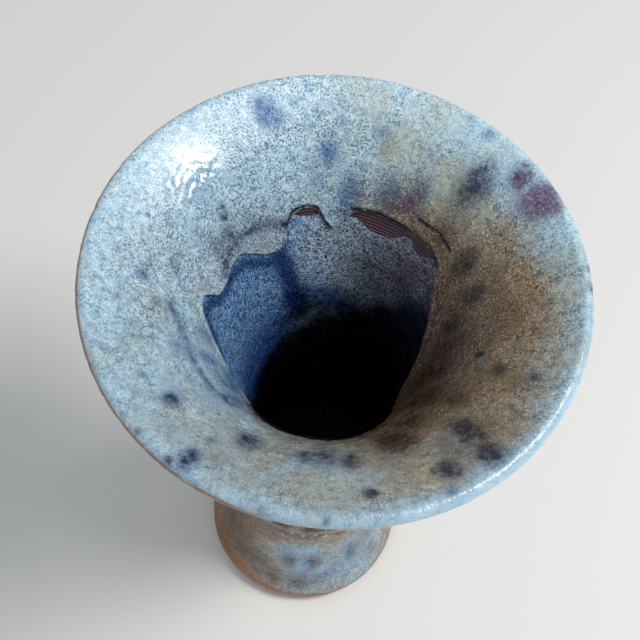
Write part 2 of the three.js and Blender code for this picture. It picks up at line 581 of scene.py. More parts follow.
def sprinkle(count: int, levels: tuple[float, float], sizes: tuple[float, float],
             strengths: tuple[float, float], seed: int) -> tuple[Patch, ...]:
    """Spread seeded small patches round the vase.

    Args:
        count: how many.
        levels: lowest and highest level.
        sizes: smallest and largest size.
        strengths: least and greatest strength.
        seed: seed of the places, sizes and strengths.

    Returns:
        The patches.
    """
    rng = np.random.default_rng(seed)
    return tuple(Patch(rng.uniform(-180, 180), rng.uniform(*levels), rng.uniform(*sizes),
                       rng.uniform(*strengths)) for _ in range(count))


def lobed(middles: tuple[Patch, ...], radius: float, seed: int) -> tuple[Patch, ...]:
    """Give each patch three seeded smaller lobes beside its middle, so that it is uneven.

    Args:
        middles: the patches.
        radius: radius at which a lobe's step round the axis is right.
        seed: seed of the lobes' places and sizes.

    Returns:
        The patches and their lobes.
    """
    rng = np.random.default_rng(seed)
    lobes = []
    for patch in middles:
        for heading in rng.uniform(0, TURN, 3):
            step = patch.size * rng.uniform(0.4, 0.8)
            azimuth = patch.azimuth + np.degrees(step * np.cos(heading) / radius)
            level = patch.level + patch.tall * step * np.sin(heading)
            size = patch.size * rng.uniform(0.45, 0.7)
            strength = patch.strength * rng.uniform(0.6, 1.0)
            lobes.append(Patch(azimuth, level, size, strength, patch.tall))
    return middles + tuple(lobes)


@dataclass(frozen=True)
class RimWobble:
    """Hand-thrown rim, out of round in slow waves that fade out below the flare."""

    share: float = 0.0035
    lowest: float = 215.0
    fade: float = 38.0
    swing: Waves = Waves(1.0, (2, 3, 5, 7), 21)

    def at(self, angle: np.ndarray, height: np.ndarray) -> np.ndarray:
        """Factor of the radii: 1 - share (1 - swing) grow, so up to 0.7 % less."""
        grow = np.clip((height - self.lowest) / self.fade, 0, 1)
        return 1 - self.share * (1 - self.swing.at(angle))[None, :] * grow


RIM_WOBBLE = RimWobble()


def turned_mesh(name: str, angle: np.ndarray, radius: np.ndarray, height: np.ndarray,
                masks: Masks, loop: bool) -> bpy.types.Object:
    """Make a closed turned grid, with a float attribute for each mask.

    The point of row i and column j is (r cos a, r sin a, z). Columns go round the axis
    and always close. Rows follow the profile: they close on themselves when loop is
    true, and otherwise start and end in a pole on the axis.

    Args:
        name: the object's name.
        angle: column angles in radians, length n.
        radius: radii in millimetres, m by n.
        height: heights in millimetres, m by n.
        masks: attribute name to m by n values.
        loop: whether the profile closes on itself.

    Returns:
        The new object, linked to the scene, at the origin.
    """
    rows, columns = radius.shape
    x = radius * np.cos(angle)[None, :]
    y = radius * np.sin(angle)[None, :]
    points = np.stack([x, y, height], -1).reshape(-1, 3) * MM
    index = np.arange(rows * columns).reshape(rows, columns)
    body = index if loop else index[:-1]
    above = np.roll(index, -1, 0) if loop else index[1:]
    faces = np.stack([body, np.roll(body, -1, 1), np.roll(above, -1, 1), above], -1)
    faces = faces.reshape(-1, 4).tolist()
    values = {key: mask.reshape(-1) for key, mask in masks.items()}
    if not loop:
        first, last = len(points), len(points) + 1
        poles = np.array([[0, 0, height[0].mean()], [0, 0, height[-1].mean()]]) * MM
        points = np.concatenate([points, poles])
        start, end = index[0], index[-1]
        faces += np.stack([np.full(columns, first), np.roll(start, -1), start], -1).tolist()
        faces += np.stack([np.full(columns, last), end, np.roll(end, -1)], -1).tolist()
        values = {key: np.append(v, [v[:columns].mean(), v[-columns:].mean()])
                  for key, v in values.items()}
    mesh = bpy.data.meshes.new(name)
    mesh.from_pydata(points.tolist(), [], faces)
    for key, value in values.items():
        layer = mesh.attributes.new(key, "FLOAT", "POINT")
        layer.data.foreach_set("value", value.astype(np.float32))
    mesh.polygons.foreach_set("use_smooth", np.ones(len(mesh.polygons), dtype=bool))
    mesh.update()
    piece = bpy.data.objects.new(name, mesh)
    bpy.context.scene.collection.objects.link(piece)
    return piece


@dataclass(frozen=True)
class Tint:
    """Colour that one mask of the piece gives its glaze, with a ragged border."""

    mask: str
    colour: str
    low: float
    high: float
    ragged: float = 1.6
    lay: Lay = Lay.THROUGH


@dataclass(frozen=True)
class OpalGlaze:
    """Thick opal glaze, dipped and fired in reduction: milky flecks in a clearer ground.

    The coat mask runs from thin and brown to thick and icy. It sets the colours of the
    ground and of the flecks, so the eye gets a stipple that changes with the coat. The
    grain mask says how strong the stipple is, with glints at its peaks, partly white
    crystals and partly a painted highlight, and dark pits in its hollows. The wet mask
    makes the gloss smoother. The tints lie over it, then pinholes. Flecks are drawn at
    0.75 mm, about twice the real size, so that they show.
    """

    name: str
    ground: Stops
    flecks: Stops
    tints: tuple[Tint, ...]
    pinhole: str
    fleck_mm: float = 0.75
    ragged_mm: float = 2.6
    pinhole_mm: float = 1.9
    mottle_mm: float = 5.0
    cloud_mm: float = 18.0
    mottle_amount: float = 0.38
    cloud_amount: float = 0.4
    # Glints on the stipple's peaks: partly white crystals, partly a painted highlight.
    glint: str = "#f4fdff"
    glint_range: tuple[float, float] = (0.57, 0.7)
    glint_amount: float = 0.6
    pit: str = "#8d98a4"
    pit_range: tuple[float, float] = (0.46, 0.32)
    hole_range: tuple[float, float] = (0.76, 0.82)
    milk: float = 0.55
    fleck_gain: float = 3.2
    full_grain: float = 0.45
    clump_gain: float = 2.6
    grit_amount: float = 1.2
    fleck_kept: float = 0.3
    matt_range: tuple[float, float] = (0.5, 1.05)
    smooth: float = 0.05
    dull: float = 0.46
    relief_mm: float = 0.3
    ior: float = 1.58

    def build(self) -> bpy.types.Material:
        """Make the node material.

        Returns:
            The new material, reading Object coordinates and the piece's coat, grain and
            wet masks and the mask of each tint.
        """
        material, tree = empty_material(self.name)
        place = add_node(tree, "TexCoord").outputs["Object"]
        noise = {}
        for key, size, detail, roughness in (
                ("fleck", self.fleck_mm, 2.0, 0.6), ("ragged", self.ragged_mm, 4.0, 0.7),
                ("pits", self.pinhole_mm, 1.0, 0.5), ("mottle", self.mottle_mm, 3.0, 0.6),
                ("cloud", self.cloud_mm, 2.0, 0.5)):
            noise[key] = add_node(tree, "TexNoise", {"Scale": 1 / (size * MM), "Detail": detail,
                                  "Roughness": roughness}, {"Vector": place})
        mask = {name: add_node(tree, "Attribute", {"attribute_name": name}).outputs["Fac"]
                for name in ("coat", "grain", "wet", *(tint.mask for tint in self.tints))}

        colour, milky = self.stippled(tree, noise, mask)
        seen = add_node(tree, "Math", {"operation": "MULTIPLY_ADD", 1: -self.fleck_kept, 2: 1.0},
                        {0: milky})
        for tint in self.tints:
            border = add_node(tree, "Math", {"operation": "MULTIPLY_ADD", 1: 2 * tint.ragged,
                              2: 1 - tint.ragged}, {0: noise["ragged"]})
            border = add_node(tree, "Math", {"operation": "MULTIPLY"}, {0: border, 1: mask[tint.mask]})
            cover = add_node(tree, "MapRange", {"interpolation_type": "SMOOTHSTEP",
                             "From Min": tint.low, "From Max": tint.high}, {"Value": border})
            if tint.lay is Lay.OVER:
                cover = add_node(tree, "Math", {"operation": "MULTIPLY"}, {0: cover, 1: seen})
            colour = add_node(tree, "Mix", {"data_type": "RGBA", "blend_type": tint.lay.value,
                              7: linear(tint.colour)}, {0: cover, 6: colour}).outputs[2]
        low, high = self.hole_range
        holes = add_node(tree, "MapRange", {"interpolation_type": "SMOOTHSTEP", "From Min": low,
                         "From Max": high}, {"Value": noise["pits"]})
        colour = add_node(tree, "Mix", {"data_type": "RGBA", 7: linear(self.pinhole)},
                          {0: holes, 6: colour}).outputs[2]

        dry = add_node(tree, "Math", {"operation": "SUBTRACT", 0: 1.0, "use_clamp": True},
                       {1: mask["wet"]})
        grit = add_node(tree, "Math", {"operation": "MULTIPLY"}, {0: noise["fleck"], 1: dry})
        lumps = add_node(tree, "Math", {"operation": "MULTIPLY_ADD", 1: self.grit_amount},
                         {0: grit, 2: noise["mottle"]})
        lumps = add_node(tree, "Math", {"operation": "MULTIPLY_ADD", 1: -0.5}, {0: holes, 2: lumps})
        bump = add_node(tree, "Bump", {"Strength": 0.8, "Distance": self.relief_mm * MM},
                        {"Height": lumps})
        low, high = self.matt_range
        gloss = add_node(tree, "Math", {"operation": "MULTIPLY_ADD", 1: 0.5},
                         {0: dry, 2: noise["mottle"]})
        gloss = add_node(tree, "MapRange", {"From Min": low, "From Max": high,
                         "To Min": self.smooth, "To Max": self.dull}, {"Value": gloss})
        shader = add_node(tree, "BsdfPrincipled", {"IOR": self.ior},
                          {"Base Color": colour, "Roughness": gloss, "Normal": bump})
        add_node(tree, "OutputMaterial", links={"Surface": shader})
        return material

    def stippled(self, tree: bpy.types.NodeTree, noise: dict, mask: dict) -> tuple:
        """Add the stippled glaze colour without its tints.

        Args:
            tree: the node tree.
            noise: the fleck, ragged, mottle and cloud textures by name.
            mask: the coat and grain masks by name.

        Returns:
            The colour's socket, and the node that says how milky each point is.
        """
        level = 0.5 * (self.mottle_amount + self.cloud_amount)
        tone = add_node(tree, "Math", {"operation": "MULTIPLY_ADD", 1: self.mottle_amount},
                        {0: noise["mottle"], 2: mask["coat"]})
        tone = add_node(tree, "Math", {"operation": "MULTIPLY_ADD", 1: self.cloud_amount},
                        {0: noise["cloud"], 2: tone})
        tone = add_node(tree, "Math", {"operation": "SUBTRACT", 1: level, "use_clamp": True},
                        {0: tone})
        ground, milk = (set_stops(add_node(tree, "ValToRGB", links={"Fac": tone}), stops)
                        for stops in (self.ground, self.flecks))
        gain = add_node(tree, "Math", {"operation": "MULTIPLY", 1: self.fleck_gain},
                        {0: mask["grain"]})
        middle = add_node(tree, "Math", {"operation": "SUBTRACT", 1: 0.5}, {0: noise["fleck"]})
        speckle = add_node(tree, "Math", {"operation": "MULTIPLY_ADD", 2: self.milk},
                           {0: middle, 1: gain})
        clump = add_node(tree, "Math", {"operation": "SUBTRACT", 1: 0.5}, {0: noise["ragged"]})
        strength = add_node(tree, "MapRange", {"From Max": self.full_grain,
                            "To Max": self.clump_gain}, {"Value": mask["grain"]})
        milky = add_node(tree, "Math", {"operation": "MULTIPLY_ADD", "use_clamp": True},
                         {0: clump, 1: strength, 2: speckle})
        colour = add_node(tree, "Mix", {"data_type": "RGBA"},
                          {0: milky, 6: ground, 7: milk}).outputs[2]
        for (low, high), amount, lay, dot in (
                (self.pit_range, 1.0, Lay.THROUGH, self.pit),
                (self.glint_range, self.glint_amount, Lay.OVER, self.glint)):
            dots = add_node(tree, "MapRange", {"From Min": low, "From Max": high,
                            "To Max": amount}, {"Value": noise["fleck"]})
            dots = add_node(tree, "Math", {"operation": "MULTIPLY", "use_clamp": True},
                            {0: dots, 1: mask["grain"]})
            colour = add_node(tree, "Mix", {"data_type": "RGBA", "blend_type": lay.value,
                              7: linear(dot)}, {0: dots, 6: colour}).outputs[2]
        return colour, milky


@dataclass(frozen=True)
class FiredClay:
    """Stoneware thrown, turned and left bare: matt, with iron specks and turning lines."""

    name: str
    light: str
    dark: str
    speck: str = "#2c1d17"
    cloud_mm: float = 9.0
    grog_mm: float = 0.9
    line_mm: float = 1.2
    relief_mm: float = 0.25
    speck_range: tuple[float, float] = (0.64, 0.7)
    roughness: float = 0.8
    ior: float = 1.5

    def build(self) -> bpy.types.Material:
        """Make the node material.

        Returns:
            The new material, reading Object coordinates.
        """
        material, tree = empty_material(self.name)
        place = add_node(tree, "TexCoord").outputs["Object"]
        cloud, grog = (add_node(tree, "TexNoise", {"Scale": 1 / (size * MM), "Detail": detail},
                                {"Vector": place})
                       for size, detail in ((self.cloud_mm, 5.0), (self.grog_mm, 2.0)))
        # The bands of a wave texture lie 2 pi / (20 scale) apart.
        lines = add_node(tree, "TexWave", {"bands_direction": "Z", "Distortion": 1.5,
                         "Scale": TURN / 20 / (self.line_mm * MM), "Detail": 1.0}, {"Vector": place})
        base = add_node(tree, "Mix", {"data_type": "RGBA", 6: linear(self.dark),
                        7: linear(self.light)}, {0: cloud})
        low, high = self.speck_range
        specks = add_node(tree, "MapRange", {"From Min": low, "From Max": high}, {"Value": grog})
        colour = add_node(tree, "Mix", {"data_type": "RGBA", 7: linear(self.speck)},
                          {0: specks, 6: base.outputs[2]})
        height = add_node(tree, "Math", {"operation": "MULTIPLY_ADD", 1: 0.4},
                          {0: lines.outputs["Fac"], 2: grog})
        bump = add_node(tree, "Bump", {"Strength": 0.5, "Distance": self.relief_mm * MM},
                        {"Height": height})
        shader = add_node(tree, "BsdfPrincipled", {"Roughness": self.roughness, "IOR": self.ior},
                          {"Base Color": colour.outputs[2], "Normal": bump})
        add_node(tree, "OutputMaterial", links={"Surface": shader})
        return material


@dataclass
class MouthGlaze:
    """The thick coat inside the flare, over the lip, down to its scalloped drip edge.

    Patches have radii as levels, and strokes have heights. Splashes are copper purple,
    spots and blues are the violet and blue mottling, and olives the grey-green places.
    Stain patches are the thin brown places, and near the throat at the right some are
    painted shade. Bloom patches are the milky places, and round the pool, where the
    window's highlight falls, and along the rim near azimuth -45 they are a painted sheen.
    Streaks are furrows that running glaze left, and cuts are scratches in it. The pool is
    the smooth wet place at the left, and the near and far sides are those of the
    photograph's view. Angles of the lip's overlap are in degrees above the horizontal.
    """

    columns: int = 550
    face_rows: int = 137
    lip_rows: int = 16
    bead_rows: int = 6
    back_rows: int = 14
    tip_rows: int = 6
    profile_steps: int = 1500
    lowest: float = 160.0
    overlap_angle: float = -34.0
    step_angle: float = -23.0
    step_blend: float = 0.05
    overlap_gap: float = 1.4
    overlap_skin: float = 1.46
    lip_growth: float = 0.3
    over_throat: float = 1.05
    over_height: float = 6.0
    over_blend: float = 2.5
    bead: float = 0.35
    bead_line: Band = Band(1.2, 1.4)
    bead_drop: float = 0.9
    soft_edge: Side = Side(140, 0.35)
    near_thinning: float = 0.8
    near_side: Side = Side(-95, 0.7)
    scallops: Waves = Waves(0.4, (17, 26, 39), 4)
    lumps: Pebbles = Pebbles(0.13, 15.0, 65.0, 8)
    lumps_fade: float = 10.0
    skin: Pebbles = Pebbles(0.1, 3.6, 65.0, 9)
    pool_skin: Pebbles = Pebbles(0.05, 5.5, 65.0, 10)
    ring_height: float = 236.0
    ring_width: float = 0.9
    ring_depth: float = 0.3
    ring_wobble: Waves = Waves(0.8, (3, 5), 12)
    ring_gaps: Waves = Waves(1.0, (4, 7, 11, 16), 13)
    streak_depth: float = 0.4
    cut_depth: float = 0.45
    drip_edge: RoundCurve = RoundCurve((
        (-180, 223.5), (-173, 221), (-166, 216), (-157, 211), (-145, 206.5), (-135, 204.5), (-127, 209),
        (-120, 216.5), (-113, 221.5), (-104, 223), (-84, 223), (-74, 220.5), (-63, 213), (-52, 205),
        (-42, 197), (-30, 187), (-20, 180), (-10, 180), (-3, 187), (5, 195), (14, 202), (23, 208),
        (31, 213), (36, 218.5), (40, 222.2), (50, 222.8), (66, 223.2), (76, 223.8), (86, 223),
        (90, 219.5), (94, 215.5), (98, 214.8), (101, 218), (104, 222.5), (110, 223.4), (116, 222),
        (120, 217), (123, 212), (127, 209.8), (132, 210.2), (137, 212.5), (142, 215), (147, 217.3),
        (152, 218), (157, 216.5), (162, 214.8), (170, 214.6), (174, 217), (177, 221.5),
    ))
    nick_rise: float = 3.6
    nick_squeeze: float = 0.6
    nicks: Marks = patches(
        (102, 0, 1.6, 0.5), (172, 0, 1.2, 0.4), (-134, 0, 1.5, 0.5), (-115, 0, 2.6, 0.6),
        (-100, 0, 1, 0.3), (-62, 0, 1.2, 0.3))
    streaks: Marks = (
        Stroke(((-169, 236.5), (-164, 233.2), (-155, 231.7), (-145, 231.3), (-134, 230.3),
                (-126, 228)), 2.4),
        Stroke(((170, 236.2), (175, 238.3), (179, 235.2)), 1.1, 0.8),
        Stroke(((-145, 226), (-144.5, 220)), 1.2, 0.9),
        Stroke(((-166, 228), (-155, 224.5), (-142, 216)), 0.8, 0.45),
    )
    cuts: Marks = (
        Stroke(((39, 229.3), (48, 230.2), (58, 229.5)), 0.7),
        Stroke(((97, 216.3), (101, 219.5), (104, 224.4), (110, 225.4), (116, 224.4),
                (119.5, 220)), 0.9, 0.8),
    )
    iron_edge: Marks = (
        Stroke(((38, 223), (46, 225.2), (58, 225.6)), 1.5, 0.7),
        Stroke(((58, 225.4), (74, 225.6), (88, 225)), 0.9, 0.8),
    )
    near_shade: Marks = (
        Stroke(((-124, 215), (-113, 222.5), (-84, 224.5), (-71, 220.5), (-58, 211)), 4.2, 0.8),
        Stroke(((121, 220), (130, 223.5), (140, 224), (147, 225), (156, 222.5), (161, 219)), 2.8, 0.75),
    )
    grains: RoundCurve = RoundCurve((
        (-180, 0.75), (-150, 0.45), (-120, 0.32), (-60, 0.35), (-25, 0.5), (10, 0.62), (45, 0.8),
        (75, 0.9), (100, 1.05), (150, 1.1),
    ), 12.0)
    grain_drift: Pebbles = Pebbles(0.3, 12.0, 65.0, 18)
    tone_radii: tuple[float, float, float] = (48.0, 62.0, 78.0)
    inner_tone: RoundCurve = RoundCurve((
        (-180, 0.7), (-165, 0.7), (-145, 0.7), (-125, 0.58), (-105, 0.48), (-88, 0.46), (-73, 0.32),
        (-60, 0.1), (-30, 0.03), (0, 0.05), (28, 0.04), (45, 0.18), (62, 0.3), (80, 0.48), (96, 0.68),
        (110, 0.74), (130, 0.7), (142, 0.7), (160, 0.72),
    ), 7.0)
    middle_tone: RoundCurve = RoundCurve((
        (-180, 0.64), (-150, 0.6), (-125, 0.56), (-105, 0.51), (-75, 0.4), (-60, 0.34), (-45, 0.26),
        (-20, 0.14), (5, 0.14), (25, 0.24), (42, 0.46), (60, 0.56), (80, 0.66), (95, 0.72), (110, 0.8),
        (130, 0.84), (155, 0.78),
    ), 7.0)
    outer_tone: RoundCurve = RoundCurve((
        (-180, 0.78), (-150, 0.7), (-125, 0.58), (-100, 0.48), (-75, 0.42), (-45, 0.4), (-20, 0.44),
        (2, 0.42), (18, 0.64), (32, 0.86), (50, 1.05), (66, 1.04), (82, 0.96), (95, 0.96), (110, 1),
        (130, 1.05), (155, 0.94),
    ), 7.0)
    # Thick pale glaze at the rim, brightest where the rim faces the window: there it is partly a
    # painted highlight.
    icy_and_highlight_rim: Band = Band(86.0, 6.0)
    icy_and_highlight_band: RoundCurve = RoundCurve((
        (-180, 0.2), (-150, 0.2), (-120, 0.2), (-95, 0.35), (-70, 0.5), (-45, 0.6), (-10, 0.55),
        (20, 0.4), (45, 0.2), (70, 0.15), (95, 0.1), (130, 0.05),
    ), 5.0)
    # A painted highlight on the drip edge at the left, and a band of painted shade just above the drip
    # edge, where the glaze also thins.
    edge_highlight_side: Side = Side(175, 0.35)
    edge_highlight_line: Band = Band(0.3, 0.8)
    thin_and_shaded_line: Band = Band(3.0, 3.5)
    glossy_rim: Side = Side(-38, 0.7)
    brown_rim: Side = Side(172, 0.7)
    brow_inset: float = 0.1
    brow_width: float = 0.6
    brow_growth: float = 0.7
    brow_top: float = 2.2
    calm_near: Side = Side(-40, 1.2)
    calm_far: Side = Side(155, 0.8)
    calm_from: float = 66.0
    calm_blend: float = 14.0
    dry_far: Side = Side(142, 0.5)
    calm_rim: Band = Band(85.0, 5.0)
    gloss_rim: Band = Band(84.0, 4.0)
    dry_rim: Band = Band(80.0, 6.0)
    line_drift: Pebbles = Pebbles(0.25, 4.0, 50.0, 19)
    pool: Patch = Patch(146, 65, 11.5)
    splashes: Marks = lobed(patches(
        (40.5, 77, 4.6, 0.6), (32.5, 77.5, 6.8, 1.3), (65, 51.2, 2.8, 0.9), (6, 84.4, 2.2, 0.8),
        (11, 84.4, 2, 0.8), (-76, 73.6, 1.9, 0.4), (-112, 71, 4, 0.2)), 75, 31)
    blues: Marks = lobed(patches(
        (118, 72.5, 4.8, 1.1, 1.2), (100, 59.3, 4.4, 0.9), (110, 74, 2, 0.6), (83, 66.5, 2.8, 0.6),
        (96, 68, 3, 0.4), (164, 62, 3, 0.5), (-175, 64.5, 2.6, 0.9), (-163, 52, 3, 0.6),
        (55, 80, 2.2, 0.8), (-133, 67, 3.8, 0.9), (-58, 80.5, 2.8, 0.7), (74, 51, 7, 0.8),
        (60, 50, 5, 0.6), (62, 54, 6, 0.6), (-86, 57.5, 7.5, 0.7), (-110, 59.5, 5, 0.6),
        (-117, 78, 3.6, 0.9, 1.4), (-97, 50, 5, 0.5), (104, 53, 5, 0.5),
        (-158, 68, 3.6, 0.4)), 65, 32) + patches(
        (-150, 45.5, 4.5, 0.8), (-138, 42, 6.5, 0.85), (-128, 47, 6, 0.85), (-163, 45, 4, 0.7),
        (-143, 37.5, 7, 1), (-152, 52.5, 6.5, 0.6), (-132, 52, 6, 0.4), (90, 49, 6, 0.9),
        (-40, 68, 13, 0.3), (-110, 62, 14, 0.15), (148, 61, 9, 0.4), (132, 60, 9, 0.4),
        (115, 66, 8, 0.2), (-122, 46, 8, 0.25), (-100, 52, 8, 0.25), (160, 55, 8, 0.35),
        (135, 46, 8, 0.35))
    spots: Marks = lobed(patches(
        (-55, 73, 4.6, 1.2), (-45, 75.5, 4.6, 1.2, 1.3), (-43, 64, 5.2, 1.1, 1.5), (-50, 69.5, 8, 0.55),
        (-20, 71, 2.6, 0.9), (-21, 70, 5.4, 0.5), (-75, 74, 2.3, 1.3), (-12, 52.5, 1.2, 1.8),
        (-19, 60, 3, 1), (-109, 60.3, 4.4, 1, 1.1), (-92, 58.5, 3.8, 0.8), (-78, 60, 3.8, 0.9, 1.2),
        (-86, 57.5, 5, 0.5), (-133, 67, 2.4, 0.9), (-142, 70.5, 1.6, 0.7), (-117, 68.5, 2, 0.7),
        (-117, 79, 2.4, 1, 1.7), (-125, 73.5, 2.4, 0.4), (-175, 64.3, 1.5, 0.7), (-168, 59.7, 2, 0.6),
        (-152, 55.5, 1.5, 0.5), (-104, 50, 2, 0.5), (49, 65.5, 6, 1.1, 1.6), (41, 77, 5, 0.9),
        (30, 51, 4.4, 0.6), (64, 54.5, 4.4, 0.6), (50, 49.5, 4.5, 0.5), (70, 48.5, 5, 0.5),
        (146, 52.5, 2.6, 0.9), (148, 47.5, 5, 0.8), (156, 47, 5, 0.7), (138, 48, 4, 0.4),
        (176, 55.5, 2.4, 0.7), (-120, 82.5, 1.8, 1), (-98, 83, 1.5, 0.7), (-85, 83, 1.5, 0.7),
        (-129, 82.5, 1.3, 1), (8, 44, 3.6, 0.5), (-5, 67, 1.2, 0.5)), 60, 33) + sprinkle(
        26, (50, 83), (0.9, 1.8), (0.3, 0.6), 12)
    # Thin brown places; the patches at azimuths 16 to 44 near the throat are painted shade.
    stains_and_shade: Marks = patches(
        (-61, 54, 8, 1.2), (-33, 53, 4.6, 0.8), (-50, 48, 7, 0.8), (30, 51, 5.4, 0.9), (16, 50, 5, 0.9),
        (8, 43, 5, 0.8), (44, 50, 6, 0.7), (-15, 39, 8, 0.8), (108, 49, 5, 0.2),
        (80, 63, 4.4, 0.5, 1.4), (134, 42, 3.4, 0.4), (2, 52, 13, 0.4), (22, 58, 9, 0.3),
        (58, 67, 7, 0.25, 1.3), (-112, 73, 6, 0.25), (-5, 74, 12, 0.25), (92, 44, 4, 0.4),
        (-72, 52, 5, 0.5), (-66, 64, 9, 0.25), (-22, 58, 10, 0.3), (-3, 42, 9, 0.7),
        (-32, 43, 9, 0.8))
    olives: Marks = patches(
        (79, 63, 5, 1, 1.4), (86, 75, 8, 0.9), (70, 76, 10, 0.8), (74, 66, 12, 0.8), (52, 74, 10, 0.5),
        (26, 72, 8, 0.5), (15, 78, 8, 0.5), (56, 62, 10, 0.9), (134, 42, 3.6, 0.6), (-84, 68, 10, 0.5),
        (-60, 72, 9, 0.5), (-120, 66, 12, 0.2), (40, 60, 8, 0.6), (176, 70, 8, 0.25),
        (-150, 66, 10, 0.15), (100, 70, 8, 0.3), (70, 82, 12, 0.7), (92, 80, 10, 0.8), (92, 67, 7, 0.4),
        (-172, 84, 7, 0.5), (-150, 84, 7, 0.55), (-130, 84, 7, 0.5), (-108, 84, 6, 0.45),
        (-88, 83, 6, 0.45), (-12, 80, 9, 0.6), (6, 79, 7, 0.7), (2, 85, 6, 0.5))
    scorched: RoundCurve = RoundCurve((
        (-180, 1.1), (-108, 1), (-98, 0.4), (-85, 0), (0, 0), (60, 0.15), (100, 0.1), (130, 0.3),
        (150, 0.8), (165, 1.1),
    ), 5.0)
    # Milky places; the large patches round the pool, where the window's highlight falls, and the long
    # band along the rim near azimuth -45 are a painted sheen.
    blooms_and_sheen: Marks = patches(
        (146, 70, 19, 0.6), (122, 76, 13, 0.5), (170, 74, 14, 0.45), (105, 62, 8, 0.3),
        (-178, 76, 12, 0.3), (-155, 76, 9, 0.2), (96, 54, 7, 0.3), (45, 82, 9, 1.1), (60, 79, 9, 1),
        (30, 84, 6, 0.8), (-40, 84, 7, 0.5), (-150, 46, 9, 0.5), (107, 51, 6.5, 0.6), (133, 51, 6, 0.4),
        (140, 62, 11, 0.5), (-45, 86.5, 55, 1.4, 0.065))

    def build(self) -> bpy.types.Object:
        """Turn the coat: lip, visible face, rolled bead, hidden back face and tip.

        The face is laid by equal steps of distance down the flare from the lip to the
        drip edge. Its distance from the clay is the coat's thickness, plus slow lumps,
        pebbles and a bead at the edge, minus a thrown groove and the lip's nicks.

        Returns:
            The coat as one closed mesh with its colour masks.
        """
        s = SIZES
        angle = np.linspace(0, TURN, self.columns, endpoint=False)
        edge = self.drip_edge.at(angle) + self.scallops.at(angle)
        lip_from = np.radians(self.overlap_angle)
        lip_to = CURVES.lip_normal_angle() + np.pi

        z_line = np.linspace(s.lip_height, self.lowest, self.profile_steps)
        r_line, h_line = CURVES.trumpet_inside(z_line, np.full(z_line.shape, s.skin))
        travel = np.append(0, np.cumsum(np.hypot(np.diff(r_line), np.diff(h_line))))
        edge_travel = np.interp(edge, z_line[::-1], travel[::-1])[None, :]

        arc = np.linspace(lip_from, lip_to, self.lip_rows)[:, None] + 0 * angle
        lip = np.minimum(s.skin, self.overlap_skin + (arc - arc[0]) * self.lip_growth)
        lip = lip + self.relief(angle, (arc - lip_to) * s.lip_reach)
        r_lip, z_lip = CURVES.lip_arc(arc, lip)

        share = np.linspace(0, 1, self.face_rows)[1:, None]
        along = share * edge_travel
        z_face = np.interp(along, travel, z_line)
        coat = s.skin + (s.mouth_coat - s.outer_coat) * share
        rolled = 1 - self.soft_edge.at(angle)[None, :]
        coat = coat + self.bead * rolled * self.bead_line.at(edge_travel - along)
        near = self.near_side.at(angle)[None, :]
        coat = coat - self.near_thinning * near * ease(2.2 * share - 0.6)
        coat = coat + self.relief(angle, along)
        coat = coat - self.groove(angle, *CURVES.trumpet_inside(z_face, coat))
        r_face, z_face_out = CURVES.trumpet_inside(z_face, coat)

        fold = np.linspace(0, 1, self.bead_rows + 2)[1:-1, None] * np.pi / 2
        depth = self.over_throat + (coat[-1][None, :] - self.over_throat) * np.cos(fold)
        z_fold = edge[None, :] - self.bead_drop * np.sin(fold)
        r_bead, z_bead = CURVES.trumpet_inside(z_fold, depth)

        back = np.linspace(1, 0, self.back_rows)[:, None] * edge_travel
        z_back = np.interp(back, travel, z_line)
        lifted = ease((self.over_height - (z_back - edge[None, :])) / self.over_blend)
        hidden = s.clearance + (self.over_throat - s.clearance) * lifted
        r_back, z_back = CURVES.trumpet_inside(z_back, hidden)
        tip = np.linspace(lip_to, lip_from, self.tip_rows)[1:, None] + 0 * angle
        under = ease((np.radians(self.step_angle) - tip) / self.step_blend)
        r_tip, z_tip = CURVES.lip_arc(tip, s.clearance + (self.overlap_gap - s.clearance) * under)

        radius = np.concatenate([r_lip, r_face, r_bead, r_back, r_tip])
        height = np.concatenate([z_lip, z_face_out, z_bead, z_back, z_tip])
        radius = radius * RIM_WOBBLE.at(angle, height)
        masks = self.masks(angle[None, :], radius, height, z_face_out[-1:])
        return turned_mesh("mouth_glaze_coat", angle, radius, height, masks, loop=True)

    def relief(self, angle: np.ndarray, along: np.ndarray) -> np.ndarray:
        """Relief of the skin: slow lumps + pebbles - nicks, with softer pebbles in the pool.

        Args:
            angle: angles in radians, as a row.
            along: distances down from the lip, as a grid.

        Returns:
            Distances out from the plain coat.
        """
        slow = self.lumps.at(angle, along) * np.clip(along / self.lumps_fade, 0, 1)
        fine = self.skin.at(angle, along) - self.skin.amount
        pool = self.pool.mask(angle, self.pool.level, SIZES.lip_radius - along)
        fine = fine + pool * (self.pool_skin.at(angle, along) - self.pool_skin.amount)
        at_rim = np.full(along.shape, SIZES.mouth)
        nick_level = (along + self.nick_rise) * self.nick_squeeze
        return slow + fine - mark_field(self.nicks, angle, at_rim, nick_level)

    def groove(self, angle: np.ndarray, radius: np.ndarray, height: np.ndarray) -> np.ndarray:
        """Depth of the cut lines in the coat: the deepest of streaks, cuts and a broken ring.

        Args:
            angle: angles in radians, as a row.
            radius: radii of the coat's face, as a grid.
            height: heights of the coat's face, as a grid.

        Returns:
            Depths.
        """
        ring = self.ring_height + self.ring_wobble.at(angle)
        broken = np.clip(self.ring_gaps.at(angle), 0, 1)
        ring = bell(height - ring[None, :], self.ring_width) * broken[None, :]
        streaks = mark_field(self.streaks, angle[None, :], radius, height)
        cuts = mark_field(self.cuts, angle[None, :], radius, height)
        return strongest(self.streak_depth * streaks, self.cut_depth * cuts, self.ring_depth * ring)

